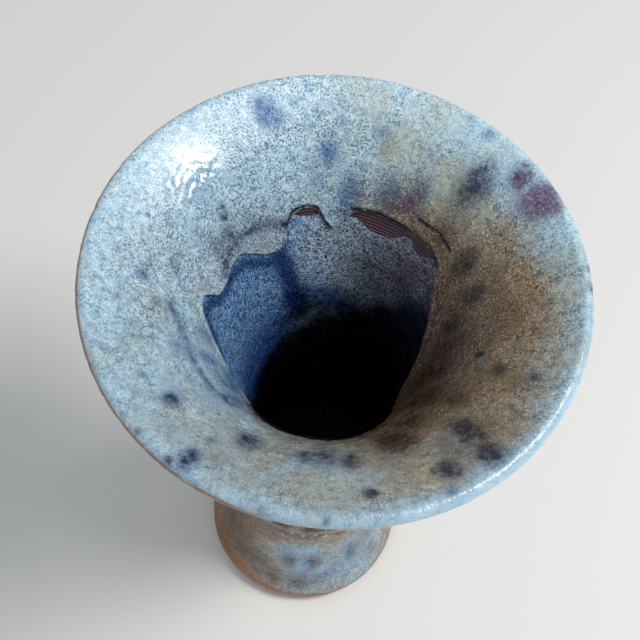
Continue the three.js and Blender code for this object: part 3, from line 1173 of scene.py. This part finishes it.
    def tone(self, around: np.ndarray, radius: np.ndarray) -> np.ndarray:
        """Coat's tone: one curve by azimuth at each of three radii, eased between them.

        Args:
            around: angles in radians, as a row.
            radius: radii, as a grid.

        Returns:
            Tones from zero, thin and brown, to one, thick and icy.
        """
        low, middle, high = self.tone_radii
        inner, half, outer = (curve.at(around) for curve in (
            self.inner_tone, self.middle_tone, self.outer_tone))
        first = (half - inner) * ease((radius - low) / (middle - low))
        return inner + first + (outer - half) * ease((radius - middle) / (high - middle))

    def masks(self, around: np.ndarray, radius: np.ndarray, height: np.ndarray,
              edge: np.ndarray) -> Masks:
        """Colour masks: icy towards the left, brown at the right, a pale band at the rim that is partly
        a painted highlight, and painted highlight and shade at the drip edge.

        Args:
            around: angles in radians, as a row.
            radius: radii in millimetres, as a grid.
            height: heights in millimetres, as a grid.
            edge: heights of the drip edge, as a row.

        Returns:
            Each mask by the name that the glaze reads.
        """
        above = height - edge
        coat = self.tone(around, radius)
        # Pale rim: thick glaze, and a painted highlight where the rim faces the window.
        coat = coat + self.icy_and_highlight_band.at(around) * self.icy_and_highlight_rim.at(radius)
        # Painted highlight on the drip edge at the left, and painted shade just above the drip edge.
        coat = coat + 0.12 * self.edge_highlight_side.at(around) * self.edge_highlight_line.at(above)
        coat = coat - 0.12 * self.thin_and_shaded_line.at(above)
        grain = self.grains.at(around) * (0.85 + self.grain_drift.at(around, radius))
        grain = grain * (1 - 0.6 * self.calm_rim.at(radius) * self.calm_near.at(around))
        calm = ease((radius - self.calm_from) / self.calm_blend) * self.calm_far.at(around)
        grain = grain * (1 - 0.45 * calm)
        pool = self.pool.mask(around, radius, radius)
        gloss = self.gloss_rim.at(radius) * (0.3 * self.glossy_rim.at(around) - 0.08)
        dry = self.dry_rim.at(radius) * self.dry_far.at(around)
        brow_width = self.brow_width + self.brow_growth * self.brown_rim.at(around)
        brow = bell((radius - SIZES.mouth + self.brow_inset) / brow_width, 1.0)
        brow = brow * (height < SIZES.lip_height + self.brow_top)
        streaks, cuts, iron, shade = (mark_field(marks, around, radius, height) for marks in (
            self.streaks, self.cuts, self.iron_edge, self.near_shade))
        lines = streaks * (0.75 + self.line_drift.at(around, height))
        iron = strongest(iron, cuts)
        blue, spot, stain_and_shade, bloom_and_sheen, olive, splash = (
            mark_field(marks, around, radius, radius) for marks in (
                self.blues, self.spots, self.stains_and_shade, self.blooms_and_sheen, self.olives, self.splashes))
        # The spot and blue masks also carry the near shade, which is painted shade, and the bloom mask
        # carries painted sheen.
        return {
            "coat": coat,
            "grain": grain * (1 - 0.4 * pool),
            "wet": 0.35 + 0.65 * pool - 0.3 * dry + gloss,
            "rust": brow * self.scorched.at(around),
            "bloom_and_sheen": bloom_and_sheen,
            "blue": strongest(blue, 0.8 * lines, 0.6 * shade),
            "olive": olive,
            "splash": splash,
            "spot": strongest(spot, 0.65 * lines, shade, iron),
            "stain_and_shade": strongest(stain_and_shade, iron),
        }


@dataclass
class ThroatGlaze:
    """The thin coat of the throat, the hollow and the floor, combed under the drip edge.

    Marks have heights as levels. The hues run from blue to brown round the wall, and
    painted shade darkens the wall below a height by azimuth, down the bore. Shadows lie
    blue-grey under the drip edge at the left, a painted shadow lines the drip edge's
    underside, deeps are painted shade of deeper blue, the hollow is painted shade that is
    nearly black, and browns warm the wall.
    """

    columns: int = 478
    near_rows: int = 50
    far_rows: int = 104
    back_rows: int = 24
    floor_rows: int = 14
    under_mouth: float = 3.0
    near_depth: float = 13.0
    joint_step: float = 0.5
    floor_corner: float = 2.0
    floor_hub: float = 0.02
    floor_inset: float = 1.5
    floor_curl: float = 0.5
    curl_power: int = 6
    skin_sink: float = 0.08
    smooth_strip: float = 2.5
    comb_pitch: float = 1.1
    comb_depth: float = 0.14
    finger_pitch: float = 9.0
    finger_depth: float = 0.07
    lumps: Pebbles = Pebbles(0.1, 9.0, 38.0, 61)
    skin: Pebbles = Pebbles(0.04, 3.2, 38.0, 62)
    bare_depth: RoundCurve = RoundCurve((
        (39, -2), (42, 1.5), (47, 4), (51, 5.5), (54, 4.5), (57, 2.4), (60, 2.8), (65, 6.2), (72, 7.8),
        (78, 7.4), (83, 5), (88, 2), (91, -2), (101, -2), (104, 2.6), (108, 4), (112, 3.4), (116, 1),
        (118, -2),
    ), 1.0)
    hues: RoundCurve = RoundCurve((
        (-180, 0.1), (-150, 0.02), (-115, 0.1), (-60, 0.95), (0, 1), (32, 1), (46, 0.95), (60, 0.86),
        (75, 0.73), (90, 0.57), (104, 0.42), (117, 0.36), (123, 0.28), (129, 0.12), (150, 0.12),
    ), 4.0)
    # Painted shade: heights by azimuth below which the wall darkens down the bore, as light falls off.
    painted_shade_from: RoundCurve = RoundCurve((
        (-180, 130), (-165, 145), (-150, 162), (-135, 186), (-120, 212), (-60, 222), (-20, 210),
        (0, 204), (22, 198), (45, 182), (60, 172), (75, 166), (90, 160), (105, 156), (120, 150),
        (135, 144), (150, 138), (165, 136),
    ), 6.0)
    bare_blend: float = 0.7
    least_bare: float = -1.5
    # Painted shadow just under the drip edge's overhang.
    edge_shadow: Band = Band(0.2, 1.0)
    # Blend and drift of the painted shade down the bore.
    fade: float = 34.0
    shade_drift: Pebbles = Pebbles(0.12, 14.0, 35.0, 63)
    left_side: Side = Side(175, 1.0)
    # Painted shade: the left wall turns a deeper, darker blue lower down.
    navy_from: float = 204.0
    navy_blend: float = 45.0
    shadows: Marks = (
        Stroke(((126, 205), (132, 205), (139, 208), (146, 212), (155, 213), (165, 211), (173, 213),
                (178, 217), (184, 218), (190, 214), (200, 207)), 3, 0.8),
        Stroke(((126, 206), (123, 197), (119, 186), (115, 172)), 5, 1),
    )
    # Painted shade: a band of deeper blue on the far wall above the dark bore.
    deeps: Marks = (
        Stroke(((84, 178), (98, 181), (108, 182), (122, 182)), 8, 0.8),
    )
    # Painted shade: a nearly black place low on the far wall.
    hollow: Stroke = Stroke(((92, 172), (102, 174), (114, 174), (124, 170)), 9, 0.7)
    browns: Marks = patches(
        (70, 200, 16, 0.5), (50, 206, 12, 0.6), (28, 212, 10, 0.5), (86, 186, 8, 0.4))

    def wall(self, z: np.ndarray, offset: np.ndarray) -> tuple:
        """Inner wall at a distance from the clay, in the trumpet and below it.

        Args:
            z: heights on the bare wall, as a grid.
            offset: distances in from the bare wall, as a grid.

        Returns:
            Radii and heights.
        """
        start = SIZES.upper_joint + self.joint_step
        r_high, z_high = CURVES.trumpet_inside(np.maximum(z, start), offset)
        r_low, z_low = CURVES.lifted(CURVES.inside, np.minimum(z, start), -offset)
        return np.where(z > start, r_high, r_low), np.where(z > start, z_high, z_low)

    def bare(self, angle: np.ndarray, below: np.ndarray) -> np.ndarray:
        """Mask of the bare combed strips: one down to their depth by azimuth below the edge."""
        depth = self.bare_depth.at(angle)[None, :]
        return ease((depth - below) / self.bare_blend + 0.5) * (depth > self.least_bare)

    def build(self) -> bpy.types.Object:
        """Turn the coat: underside, back of the wall, top, visible wall and floor.

        The visible wall is 0.6 mm thick, plus a comb's cosine lines in the bare strips,
        wide finger ridges in a slow spiral, and pebbles. It ends under the mouth's coat.

        Returns:
            The coat as one closed mesh with its colour masks.
        """
        s = SIZES
        angle = np.linspace(0, TURN, self.columns, endpoint=False)
        edge = MouthGlaze.drip_edge.at(angle)
        top = edge + self.under_mouth
        low = s.shoulder + self.floor_corner
        near = top[None, :] - np.linspace(0, self.near_depth, self.near_rows)[:, None]
        drop = np.linspace(0, 1, self.far_rows + 1)[1:, None]
        z_clay = np.concatenate([near, near[-1:] + drop * (low - near[-1:])])
        below = edge[None, :] - z_clay
        comb = np.cos(TURN * z_clay / self.comb_pitch) * self.bare(angle, below) * self.comb_depth
        ridges = self.finger_depth * np.cos(TURN * z_clay / self.finger_pitch + angle[None, :])
        ridges = ridges + self.lumps.at(angle, z_clay) + self.skin.at(angle, z_clay) - self.skin_sink
        offset = s.clearance + s.throat_coat + comb + ridges * ease(below / self.smooth_strip)
        r_face, z_face = self.wall(z_clay, offset)

        z_line = low + np.linspace(0, 1, self.back_rows)[:, None] * (top - low)[None, :]
        r_back, z_back = self.wall(z_line, np.full(z_line.shape, s.clearance))
        corner = float(CURVES.foot_inside(np.array([s.shoulder]))[0]) - s.clearance
        out = np.linspace(self.floor_hub, 1, self.floor_rows)[:, None]
        r_under = out * corner + 0 * angle
        z_under = np.full(r_under.shape, s.shoulder)
        r_floor = out[::-1] * (corner - s.throat_coat - self.floor_inset) + 0 * angle
        curl = self.floor_curl * out[::-1] ** self.curl_power
        z_floor = s.shoulder + s.throat_coat + curl + 0 * angle
        radius = np.concatenate([r_under, r_back, r_face, r_floor])
        height = np.concatenate([z_under, z_back, z_face, z_floor])
        clay = np.concatenate([z_under, z_line, z_clay, z_floor])
        masks = self.masks(angle, radius, clay, edge)
        return turned_mesh("throat_glaze_coat", angle, radius, height, masks, loop=False)

    def masks(self, angle: np.ndarray, radius: np.ndarray, height: np.ndarray,
              edge: np.ndarray) -> Masks:
        """Colour masks: blue left wall, grey far wall, brown right, painted shade in the depth and
        under the drip edge, combed strips.

        Args:
            angle: angles in radians.
            radius: radii in millimetres, as a grid.
            height: heights on the bare wall, as a grid.
            edge: heights of the drip edge, one for each angle.

        Returns:
            Each mask by the name that the glaze reads.
        """
        around = angle[None, :]
        below = edge[None, :] - height
        # Painted shade: the wall darkens below a height by azimuth, and most in the hollow.
        dark = self.painted_shade_from.at(around)
        lit = ease((height - dark) / self.fade + self.shade_drift.at(around, height))
        left = np.clip(1.6 * self.left_side.at(around), 0, 1)
        # Painted shade: deeper blue low on the left wall.
        navy = 0.75 * left * ease((self.navy_from - height) / self.navy_blend)
        bare = self.bare(angle, below)
        shadows, deeps, browns = (mark_field(marks, around, radius, height) for marks in (
            self.shadows, self.deeps, self.browns))
        # Here the spot, stain and depth masks are painted shadow and shade only.
        return {
            "coat": self.hues.at(around) + 0 * radius,
            "grain": 1.0 + 0 * radius,
            "wet": 0.35 + 0 * radius,
            "spot": shadows,
            "blue": strongest(deeps, navy),
            "olive": browns,
            "depth_shade": strongest(1 - lit, self.hollow.mask(around, radius, height)),
            "bare": bare,
            "comb": bare * (0.5 + 0.5 * np.cos(TURN * height / self.comb_pitch)),
            "stain_and_shade": self.edge_shadow.at(below),
        }


@dataclass
class OuterGlaze:
    """The coat outside, from the glaze line on the foot, over the knop, to under the lip.

    Marks have heights as levels. Toasted places are thin and brown, burnt and singed ones
    are rust-coloured, icy ones are thick and pale, and glints are painted highlight dots in
    the painted shade of the crease below the knop. The other marks are as in the mouth.
    """

    columns: int = 416
    low_rows: int = 122
    high_rows: int = 80
    lip_rows: int = 6
    fewest_low: int = 16
    fewest_high: int = 12
    back_share: float = 0.08
    row_power: float = 1.5
    end_angle: float = -25.0
    end_skin: float = 1.34
    line_lift: float = 0.9
    line_wobble: Waves = Waves(0.8, (3, 4, 7, 11, 18), 41)
    line_fade: float = 3.0
    lip_fade: float = 12.0
    roll: Band = Band(1.6, 1.5)
    roll_height: float = 0.45
    thin_end: Band = Band(0.0, 0.5)
    thin_depth: float = 0.5
    lumps: Pebbles = Pebbles(0.16, 18.0, 42.0, 43)
    skin: Pebbles = Pebbles(0.07, 4.5, 42.0, 44)
    ring_pitch: float = 7.5
    ring_depth: float = 0.1
    # Painted shade under the knop, on its ridge and at the upper joint, strongest on the near side.
    crease: Band = Band(75.0, 6.5)
    crease_side: Side = Side(-92, 0.8)
    crease_drift: Pebbles = Pebbles(0.4, 11.0, 42.0, 55, 1.8)
    ridge: Band = Band(2.0, 7.0)
    ridge_side: Side = Side(-95, 0.5)
    collar_width: float = 4.0
    lip_width: float = 1.2
    tan: Band = Band(62.0, 6.0)
    tan_drift: Pebbles = Pebbles(0.5, 9.0, 45.0, 54)
    clouds: Pebbles = Pebbles(0.14, 40.0, 45.0, 45)
    grain_drift: Pebbles = Pebbles(0.2, 25.0, 45.0, 47)
    brushing: Pebbles = Pebbles(0.5, 4.5, 45.0, 50, 3.5)
    scorched: tuple[Side, Side] = (Side(-178, 0.9), Side(60, 0.8))
    singed: Band = Band(12.0, 7.0)
    rusty: Side = Side(-118, 0.7)
    rust: Band = Band(2.4, 3.2)
    icy: Marks = patches(
        (-86, 52, 9, 0.4), (-44, 36, 18, 0.2, 1.3), (-86, 38, 4.6, 0.45, 1.8), (-72, 36, 16, 0.05),
        (100, 120, 22, 0.3), (20, 190, 30, 0.3), (160, 70, 18, 0.25))
    blues: Marks = lobed(patches(
        (-48, 38, 5.4, 1, 2), (-30, 26, 5, 0.7, 1.4), (-60, 30, 9, 0.6, 1.4), (-84, 40, 15, 0.6, 1.3),
        (-42, 40, 14, 0.6, 1.6), (-93, 42, 4.6, 0.6, 1.8)), 45, 51) + sprinkle(
        30, (10, 240), (2, 5), (0.6, 1), 49)
    spots: Marks = lobed(patches(
        (-94, 41, 4.2, 0.85, 1.9), (-77, 41, 4, 0.8, 2.1), (-86, 20, 7, 0.75), (-72, 22, 7, 0.6),
        (-48, 37, 2.6, 0.5, 2.2), (-118, 30, 7, 0.8, 1.6), (-116, 18, 2.6, 0.8), (-104, 20, 6, 0.8),
        (-55, 18, 6, 0.4)), 45, 52) + sprinkle(
        26, (10, 240), (1.6, 4), (0.5, 0.9), 46)
    splashes: Marks = lobed(patches(
        (-77, 42, 2.4, 0.3, 2), (-116, 18, 2.4, 0.7), (60, 160, 9, 0.9), (72, 171, 7, 0.8),
        (-160, 205, 9, 0.8), (150, 40, 7, 0.7), (20, 222, 8, 0.8), (-60, 150, 6, 0.7)), 50, 53)
    stains_and_shade: Marks = patches(
        (-150, 35, 7, 0.8, 2), (-128, 25, 9, 0.7), (-108, 24, 9, 0.5), (-85, 18, 12, 0.4),
        (100, 140, 18, 0.6), (10, 60, 16, 0.6), (-30, 190, 20, 0.5), (80, 40, 14, 0.7))
    # Painted highlight dots in the crease's painted shade.
    glints: Marks = patches(
        (-103, 70, 0.9, 0.6, 1.4), (-96, 74, 1.1, 0.8, 2), (-92, 71, 0.7, 0.6, 1.5),
        (-87, 74, 1.3, 0.8, 2.2), (-81, 72, 0.8, 0.6, 1.8), (-78, 75, 1.2, 0.9, 2),
        (-70, 72, 0.9, 0.6, 2.2), (-82, 63, 1.4, 0.7, 1.5), (-95, 65, 1.1, 0.6, 1.5),
        (-101, 60, 1.3, 0.7, 1.2), (-76, 60, 1.4, 0.8, 2.2))
    toasted: Marks = patches(
        (-150, 36, 19, 1, 1.8), (-172, 20, 12, 1, 1.6), (-120, 64, 9, 0.7), (110, 20, 16, 0.8),
        (40, 230, 14, 0.5))
    burnt: Marks = patches(
        (-174, 22, 11, 1, 2), (-150, 30, 16, 0.25, 1.6), (-125, 14, 7, 0.7), (-110, 80, 8, 0.5),
        (-135, 66, 7, 0.5), (112, 20, 14, 0.4))
    blooms_and_sheen: Marks = sprinkle(16, (15, 235), (6, 13), (0.4, 0.8), 48)

    def side(self, angle: np.ndarray, distance: float, end: float, rough: float,
             share: float) -> tuple:
        """One side of the coat from the glaze line up to the lip.

        Args:
            angle: column angles in radians.
            distance: distance from the clay.
            end: distance from the clay where the coat ends on the lip.
            rough: one for the visible skin, zero for the plain back.
            share: share of the rows that this side gets.

        Returns:
            Radii and heights of the side.
        """
        s = SIZES
        low_rows = max(self.fewest_low, int(self.low_rows * share))
        high_rows = max(self.fewest_high, int(self.high_rows * share))
        line = s.glaze_line + self.line_lift + self.line_wobble.at(angle)
        rise = np.linspace(0, 1, low_rows)[:, None]
        z_low = line[None, :] + rise * (s.upper_joint - line)[None, :]
        climb = 1 - (1 - np.linspace(0, 1, high_rows)[1:, None]) ** self.row_power
        z_high = s.upper_joint + climb * (s.lip_height - s.upper_joint) + 0 * angle
        arc = np.linspace(CURVES.lip_normal_angle(), np.radians(self.end_angle), self.lip_rows)
        arc = arc[1:, None] + 0 * angle
        clay = np.concatenate([z_low, z_high])
        skin = distance + rough * self.relief(angle, clay, line[None, :])
        thinned = distance + (end - distance) * np.linspace(0, 1, self.lip_rows)[1:, None] + 0 * angle
        low = CURVES.lifted(CURVES.outside, z_low, skin[:low_rows])
        high = CURVES.trumpet_outside(z_high, skin[low_rows:])
        lip = CURVES.lip_arc(arc, thinned)
        return tuple(np.concatenate(rows) for rows in zip(low, high, lip))

    def relief(self, angle: np.ndarray, z: np.ndarray, line: np.ndarray) -> np.ndarray:
        """Relief of the skin: lumps + pebbles + thrown rings, and a roll at the glaze line.

        Args:
            angle: angles in radians.
            z: heights, as a grid.
            line: heights of the glaze line, as a row.

        Returns:
            Distances out from the plain coat.
        """
        lumps = self.lumps.at(angle, z) + self.skin.at(angle, z)
        rings = self.ring_depth * (np.cos(TURN * z / self.ring_pitch + angle[None, :]) - 1)
        fade = np.clip((z - line) / self.line_fade, 0, 1)
        fade = fade * np.clip((SIZES.lip_height - z) / self.lip_fade, 0, 1)
        roll = self.roll_height * self.roll.at(z - line) - self.thin_depth * self.thin_end.at(z - line)
        return (lumps + rings) * fade + roll

    def build(self) -> bpy.types.Object:
        """Turn the coat: visible side up, then the hidden side down.

        Returns:
            The coat as one closed mesh with its colour masks.
        """
        s = SIZES
        angle = np.linspace(0, TURN, self.columns, endpoint=False)
        r_face, z_face = self.side(angle, s.skin, self.end_skin, 1.0, 1.0)
        r_back, z_back = self.side(angle, s.clearance, s.clearance, 0.0, self.back_share)
        radius = np.concatenate([r_face, r_back[::-1]])
        height = np.concatenate([z_face, z_back[::-1]])
        radius = radius * RIM_WOBBLE.at(angle, height)
        masks = self.masks(angle[None, :], radius, height)
        return turned_mesh("outer_glaze_coat", angle, radius, height, masks, loop=True)

    def masks(self, around: np.ndarray, radius: np.ndarray, z: np.ndarray) -> Masks:
        """Colour masks: thin at the glaze line and the tan band, painted shade in the crease, broken by
        painted highlight dots.

        Args:
            around: angles in radians, as a row.
            radius: radii in millimetres, as a grid.
            z: heights in millimetres, as a grid.

        Returns:
            Each mask by the name that the glaze reads.
        """
        s = SIZES
        toast, dots, icy, burnt, bloom_and_sheen, blue, splash, spot, stain_and_shade = (
            mark_field(marks, around, radius, z) for marks in (
                self.toasted, self.glints, self.icy, self.burnt, self.blooms_and_sheen, self.blues,
                self.splashes, self.spots, self.stains_and_shade))
        # Painted shade on the knop's near ridge, under the knop and at the upper joint, broken by the
        # painted highlight dots.
        ridge = 0.8 * self.ridge.at(z - s.knop_height) * self.ridge_side.at(around)
        under = 1.2 * (0.5 + 0.5 * self.crease_side.at(around)) * self.crease.at(z)
        crease = ridge + under + 0.5 * bell(z - s.upper_joint, self.collar_width)
        crease = crease * (0.6 + self.crease_drift.at(around, z)) * (1 - dots)
        tan = self.tan.at(z) + 0.7 * bell(z - s.knop_height, self.collar_width)
        tan = tan * (0.7 + self.tan_drift.at(around, z))
        # The base tone is partly the coat's grey-blue and partly painted shade of the mouth over the
        # outside.
        coat = 0.47 + self.clouds.at(around, z) + icy - 0.5 * bell(radius - s.mouth, self.lip_width)
        coat = coat - toast - 0.25 * tan - 0.9 * crease + 0.6 * dots
        brushed = 0.5 + self.brushing.at(around, z)
        back, far = self.scorched
        singed = strongest(back.at(around), 0.8 * far.at(around)) * (0.7 + 0.5 * brushed)
        edge = 1.3 * self.singed.at(z) * singed
        rust = 1.2 * self.rust.at(z - s.glaze_line) * (0.35 + 0.65 * self.rusty.at(around))
        # The spot and stain masks carry the crease's painted shade as well as real spots and stains.
        return {
            "coat": coat,
            "grain": (0.75 + self.grain_drift.at(around, z)) * (1 - 0.4 * np.clip(toast, 0, 1)),
            "wet": 0.4 + 0 * radius,
            "rust": strongest(edge + rust, burnt * (0.6 + 0.6 * brushed)),
            "bloom_and_sheen": bloom_and_sheen,
            "blue": blue,
            "olive": 0.3 * tan * (1 - np.clip(crease, 0, 1)),
            "splash": splash,
            "spot": strongest(spot, 0.8 * crease),
            "stain_and_shade": strongest(stain_and_shade, crease, 0.3 * tan, 0.9 * toast * brushed),
        }


@dataclass
class FootBody:
    """The foot section's clay, seen at the bare foot ring and inside it.

    A little ease at the ring keeps the fine surface inside the solid that it stands for.
    """

    columns: int = 320
    outside_rows: int = 40
    inside_rows: int = 24
    arc_rows: int = 7
    recess_rows: int = 10
    ease_off: float = 0.6
    joint_gap: float = 0.5

    def build(self) -> bpy.types.Object:
        """Turn the foot: ring, outside, spigot, inside, shoulder and seat of the floor.

        Returns:
            The foot's clay as one closed mesh.
        """
        s = SIZES
        angle = np.linspace(0, TURN, self.columns, endpoint=False)
        body = s.foot - s.skin
        seat = s.floor_radius + s.floor_luting + 2 * s.clearance
        floor_low = s.shoulder - s.clearance - s.floor_thickness
        middle = (s.neck_body + s.bore) / 2
        tongue = s.lower_joint + s.spigot
        turn = np.linspace(-np.pi / 2, 0, self.arc_rows)
        z_top = s.lower_joint - self.joint_gap
        z_out = np.linspace(s.ring_bevel + self.ease_off, z_top, self.outside_rows)
        z_in = np.linspace(z_top, s.shoulder, self.inside_rows)
        profile_r = np.concatenate([
            [s.ring_inner + self.ease_off], body - s.ring_bevel + s.ring_bevel * np.cos(turn),
            CURVES.foot_outside(z_out), [s.neck_body, middle, middle, s.bore],
            CURVES.foot_inside(z_in), [seat, seat],
            np.linspace(seat, s.ring_inner, self.recess_rows)[1:]])
        profile_z = np.concatenate([
            [0.0], s.ring_bevel + s.ring_bevel * np.sin(turn),
            z_out, [s.lower_joint, s.lower_joint, tongue, tongue],
            z_in, [s.shoulder, floor_low],
            np.linspace(floor_low, self.ease_off, self.recess_rows)[1:]])
        radius = profile_r[:, None] + 0 * angle
        height = profile_z[:, None] + 0 * angle
        return turned_mesh("foot_clay", angle, radius, height, {}, loop=True)


# The bloom tint also lays painted sheen, and the stain and spot tints also lay painted shade, where
# their masks carry it.
GLAZE_TINTS = (
    Tint("bloom_and_sheen", "#b9d9ea", 0.05, 1.7, 1.6, Lay.OVER),
    Tint("olive", "#bfc2a6", 0.0, 1.6, 1.0, Lay.OVER),
    Tint("stain_and_shade", "#7c6c60", 0.05, 1.1),
    Tint("rust", "#8e5618", 0.08, 0.6, 1.0, Lay.OVER),
    Tint("blue", "#5f83ba", 0.0, 1.2),
    Tint("spot", "#4d4b6c", 0.0, 1.25),
    Tint("splash", "#562856", 0.0, 0.9, 1.9, Lay.OVER),
)
GLAZE_GROUND = (
    (0.0, "#422d1a"), (0.2, "#594630"), (0.4, "#5e5f5a"), (0.6, "#5c7789"), (0.8, "#6791b0"),
    (1.0, "#7db1d5"),
)
GLAZE_FLECKS = (
    (0.0, "#8d6943"), (0.2, "#a58a68"), (0.4, "#aeada4"), (0.6, "#b4ccd7"), (0.8, "#c3e0ef"),
    (1.0, "#e0f5ff"),
)
# Poured inside: the thickest coat, so the milkiest, with the widest run of colour.
MOUTH_FINISH = OpalGlaze("opal stoneware glaze, poured and fired in reduction",
                         GLAZE_GROUND, GLAZE_FLECKS, GLAZE_TINTS, "#3a3a40")
# Dipped outside: a little thinner, so clouds of grey-blue with warm, thin ridges.
OUTER_FINISH = OpalGlaze("opal stoneware glaze, dipped and fired in reduction",
                         GLAZE_GROUND, GLAZE_FLECKS, GLAZE_TINTS, "#4a3a30", mottle_mm=6.0,
                         cloud_mm=24.0, mottle_amount=0.7)
# Thin coat in the throat: clear iron blue where it faces the mouth, with painted shade going nearly
# black down the bore. Its stain tint paints the shadow under the drip edge, and its spot tint the
# blue-grey shadows.
THROAT_FINISH = OpalGlaze(
    "thin iron-blue stoneware glaze",
    ((0.0, "#24528c"), (0.25, "#2c588c"), (0.5, "#56728f"), (0.75, "#4a505c"), (1.0, "#3f3639")),
    ((0.0, "#74a4d6"), (0.25, "#8cb4dc"), (0.5, "#c6d7e8"), (0.75, "#99a3b6"), (1.0, "#8e8390")),
    (Tint("stain_and_shade", "#3a3640", 0.1, 0.8), Tint("blue", "#3a68ac", 0.0, 1.0),
     Tint("olive", "#a08a84", 0.0, 1.0), Tint("spot", "#5a7096", 0.0, 1.0, 0.8),
     Tint("depth_shade", "#040407", 0.0, 1.0, 0.5, Lay.OVER), Tint("bare", "#38242a", 0.3, 0.7, 0.5, Lay.OVER),
     Tint("comb", "#64434b", 0.35, 1.0, 0.6, Lay.OVER)),
    "#14161c", mottle_amount=0.25, cloud_amount=0.3, glint="#cfe2f2", glint_amount=0.5,
    pit="#5a6068", milk=0.45, fleck_kept=0.0)
# Bare where the glaze stops: dry, toasted orange-brown.
CLAY_FINISH = FiredClay("stoneware, thrown, turned and fired bare", "#a5683c", "#74462c")
# Slip in the joints: finer and paler than the body.
SLIP_FINISH = FiredClay("luting slip, fired", "#a07a61", "#7c5643")


@dataclass(frozen=True)
class Lamp:
    """A square soft light: its middle and side in metres, power in watts and sRGB colour."""

    name: str
    place: Place
    size: float
    power: float
    colour: str


@dataclass
class Studio:
    """Plain pale floor, one soft window and the photograph's camera."""

    focal_px: float = 1050.0
    frame_px: float = 640.0
    sensor_mm: float = 36.0
    camera_back: float = 174.2
    camera_up: float = 549.21
    yaw: float = 1.299
    pitch: float = 62.078
    roll: float = 7.290
    floor_size: float = 6.0
    floor_colour: str = "#f3f3f1"
    looked_at: Place = (0.0, 0.0, 0.2)
    window: Lamp = Lamp("window", (0.74, 0.04, 1.29), 0.5, 12.5, "#fdfbf6")
    room: Lamp = Lamp("room", (-0.25, -1.05, 1.25), 1.1, 2.6, "#f4f8fd")
    world_colour: str = "#e6eaee"
    world_strength: float = 0.42

    def camera(self) -> None:
        """Set the camera that the rim's and foot's outlines give."""
        level = Matrix(((1, 0, 0), (0, 0, -1), (0, 1, 0)))
        yaw = Matrix.Rotation(np.radians(self.yaw), 3, "Z")
        pitch = Matrix.Rotation(np.radians(-self.pitch), 3, "X")
        roll = Matrix.Rotation(np.radians(self.roll), 3, "Z")
        data = bpy.data.cameras.new("photo_camera")
        data.sensor_width = self.sensor_mm
        data.lens = self.focal_px * self.sensor_mm / self.frame_px
        data.clip_start = 0.01
        camera = bpy.data.objects.new("photo_camera", data)
        bpy.context.scene.collection.objects.link(camera)
        spot = (0.0, -self.camera_back * MM, self.camera_up * MM)
        camera.matrix_world = Matrix.Translation(spot) @ (yaw @ level @ pitch @ roll).to_4x4()
        bpy.context.scene.camera = camera

    def floor(self) -> None:
        """Lay the plain floor."""
        half = self.floor_size / 2
        mesh = bpy.data.meshes.new("studio_floor")
        corners = [(-half, -half, 0), (half, -half, 0), (half, half, 0), (-half, half, 0)]
        mesh.from_pydata(corners, [], [(0, 1, 2, 3)])
        floor = bpy.data.objects.new("studio_floor", mesh)
        bpy.context.scene.collection.objects.link(floor)
        material, tree = empty_material("painted studio floor")
        paint = add_node(tree, "BsdfPrincipled", {"Base Color": linear(self.floor_colour),
                         "Roughness": 0.8})
        add_node(tree, "OutputMaterial", links={"Surface": paint})
        mesh.materials.append(material)

    def hang(self, lamp: Lamp) -> None:
        """Hang one light that looks at the mouth.

        Args:
            lamp: the light.
        """
        data = bpy.data.lights.new(lamp.name, "AREA")
        data.shape = "SQUARE"
        data.size = lamp.size
        data.energy = lamp.power
        data.color = linear(lamp.colour)[:3]
        light = bpy.data.objects.new(lamp.name, data)
        bpy.context.scene.collection.objects.link(light)
        spot = Matrix.Translation(lamp.place)
        aim = Matrix.Translation(self.looked_at).translation - spot.translation
        light.matrix_world = spot @ aim.to_track_quat("-Z", "Y").to_matrix().to_4x4()

    def lights(self) -> None:
        """Hang the window and the softer room light, and set an even pale world."""
        self.hang(self.window)
        self.hang(self.room)
        world = bpy.data.worlds.new("studio")
        world.use_nodes = True
        background = world.node_tree.nodes["Background"]
        background.inputs["Color"].default_value = linear(self.world_colour)
        background.inputs["Strength"].default_value = self.world_strength
        bpy.context.scene.world = world


def dress(piece: bpy.types.Object, material: bpy.types.Material) -> None:
    """Give a piece or a frame node one material."""
    piece.data.materials.clear()
    piece.data.materials.append(material)


def place_piece(piece: bpy.types.Object, node: str, material: bpy.types.Material) -> None:
    """Dress a piece, let it ride on the vase and stand for its node.

    Args:
        piece: the new piece.
        node: name of the frame's node that it replaces.
        material: its finish.
    """
    dress(piece, material)
    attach(piece, ROOT)
    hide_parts(node)
    LOG.info("%s: %d faces", piece.name, len(piece.data.polygons))


def main() -> None:
    """Build the vase around its frame, set the studio and note the sizes."""
    logging.basicConfig(level=logging.INFO)
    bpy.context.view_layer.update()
    clay = CLAY_FINISH.build()
    slip = SLIP_FINISH.build()
    for node in ("mouth_section", "middle_section", "base_floor"):
        dress(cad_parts[node], clay)
    for node in ("upper_luting_slip", "lower_luting_slip", "floor_luting_slip"):
        dress(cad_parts[node], slip)
    place_piece(MouthGlaze().build(), "mouth_glaze", MOUTH_FINISH.build())
    place_piece(ThroatGlaze().build(), "throat_glaze", THROAT_FINISH.build())
    place_piece(OuterGlaze().build(), "outer_glaze", OUTER_FINISH.build())
    place_piece(FootBody().build(), "foot_section", clay)
    studio = Studio()
    studio.camera()
    studio.floor()
    studio.lights()
    bpy.context.scene.view_settings.view_transform = "Standard"


if __name__ == "__main__":
    main()
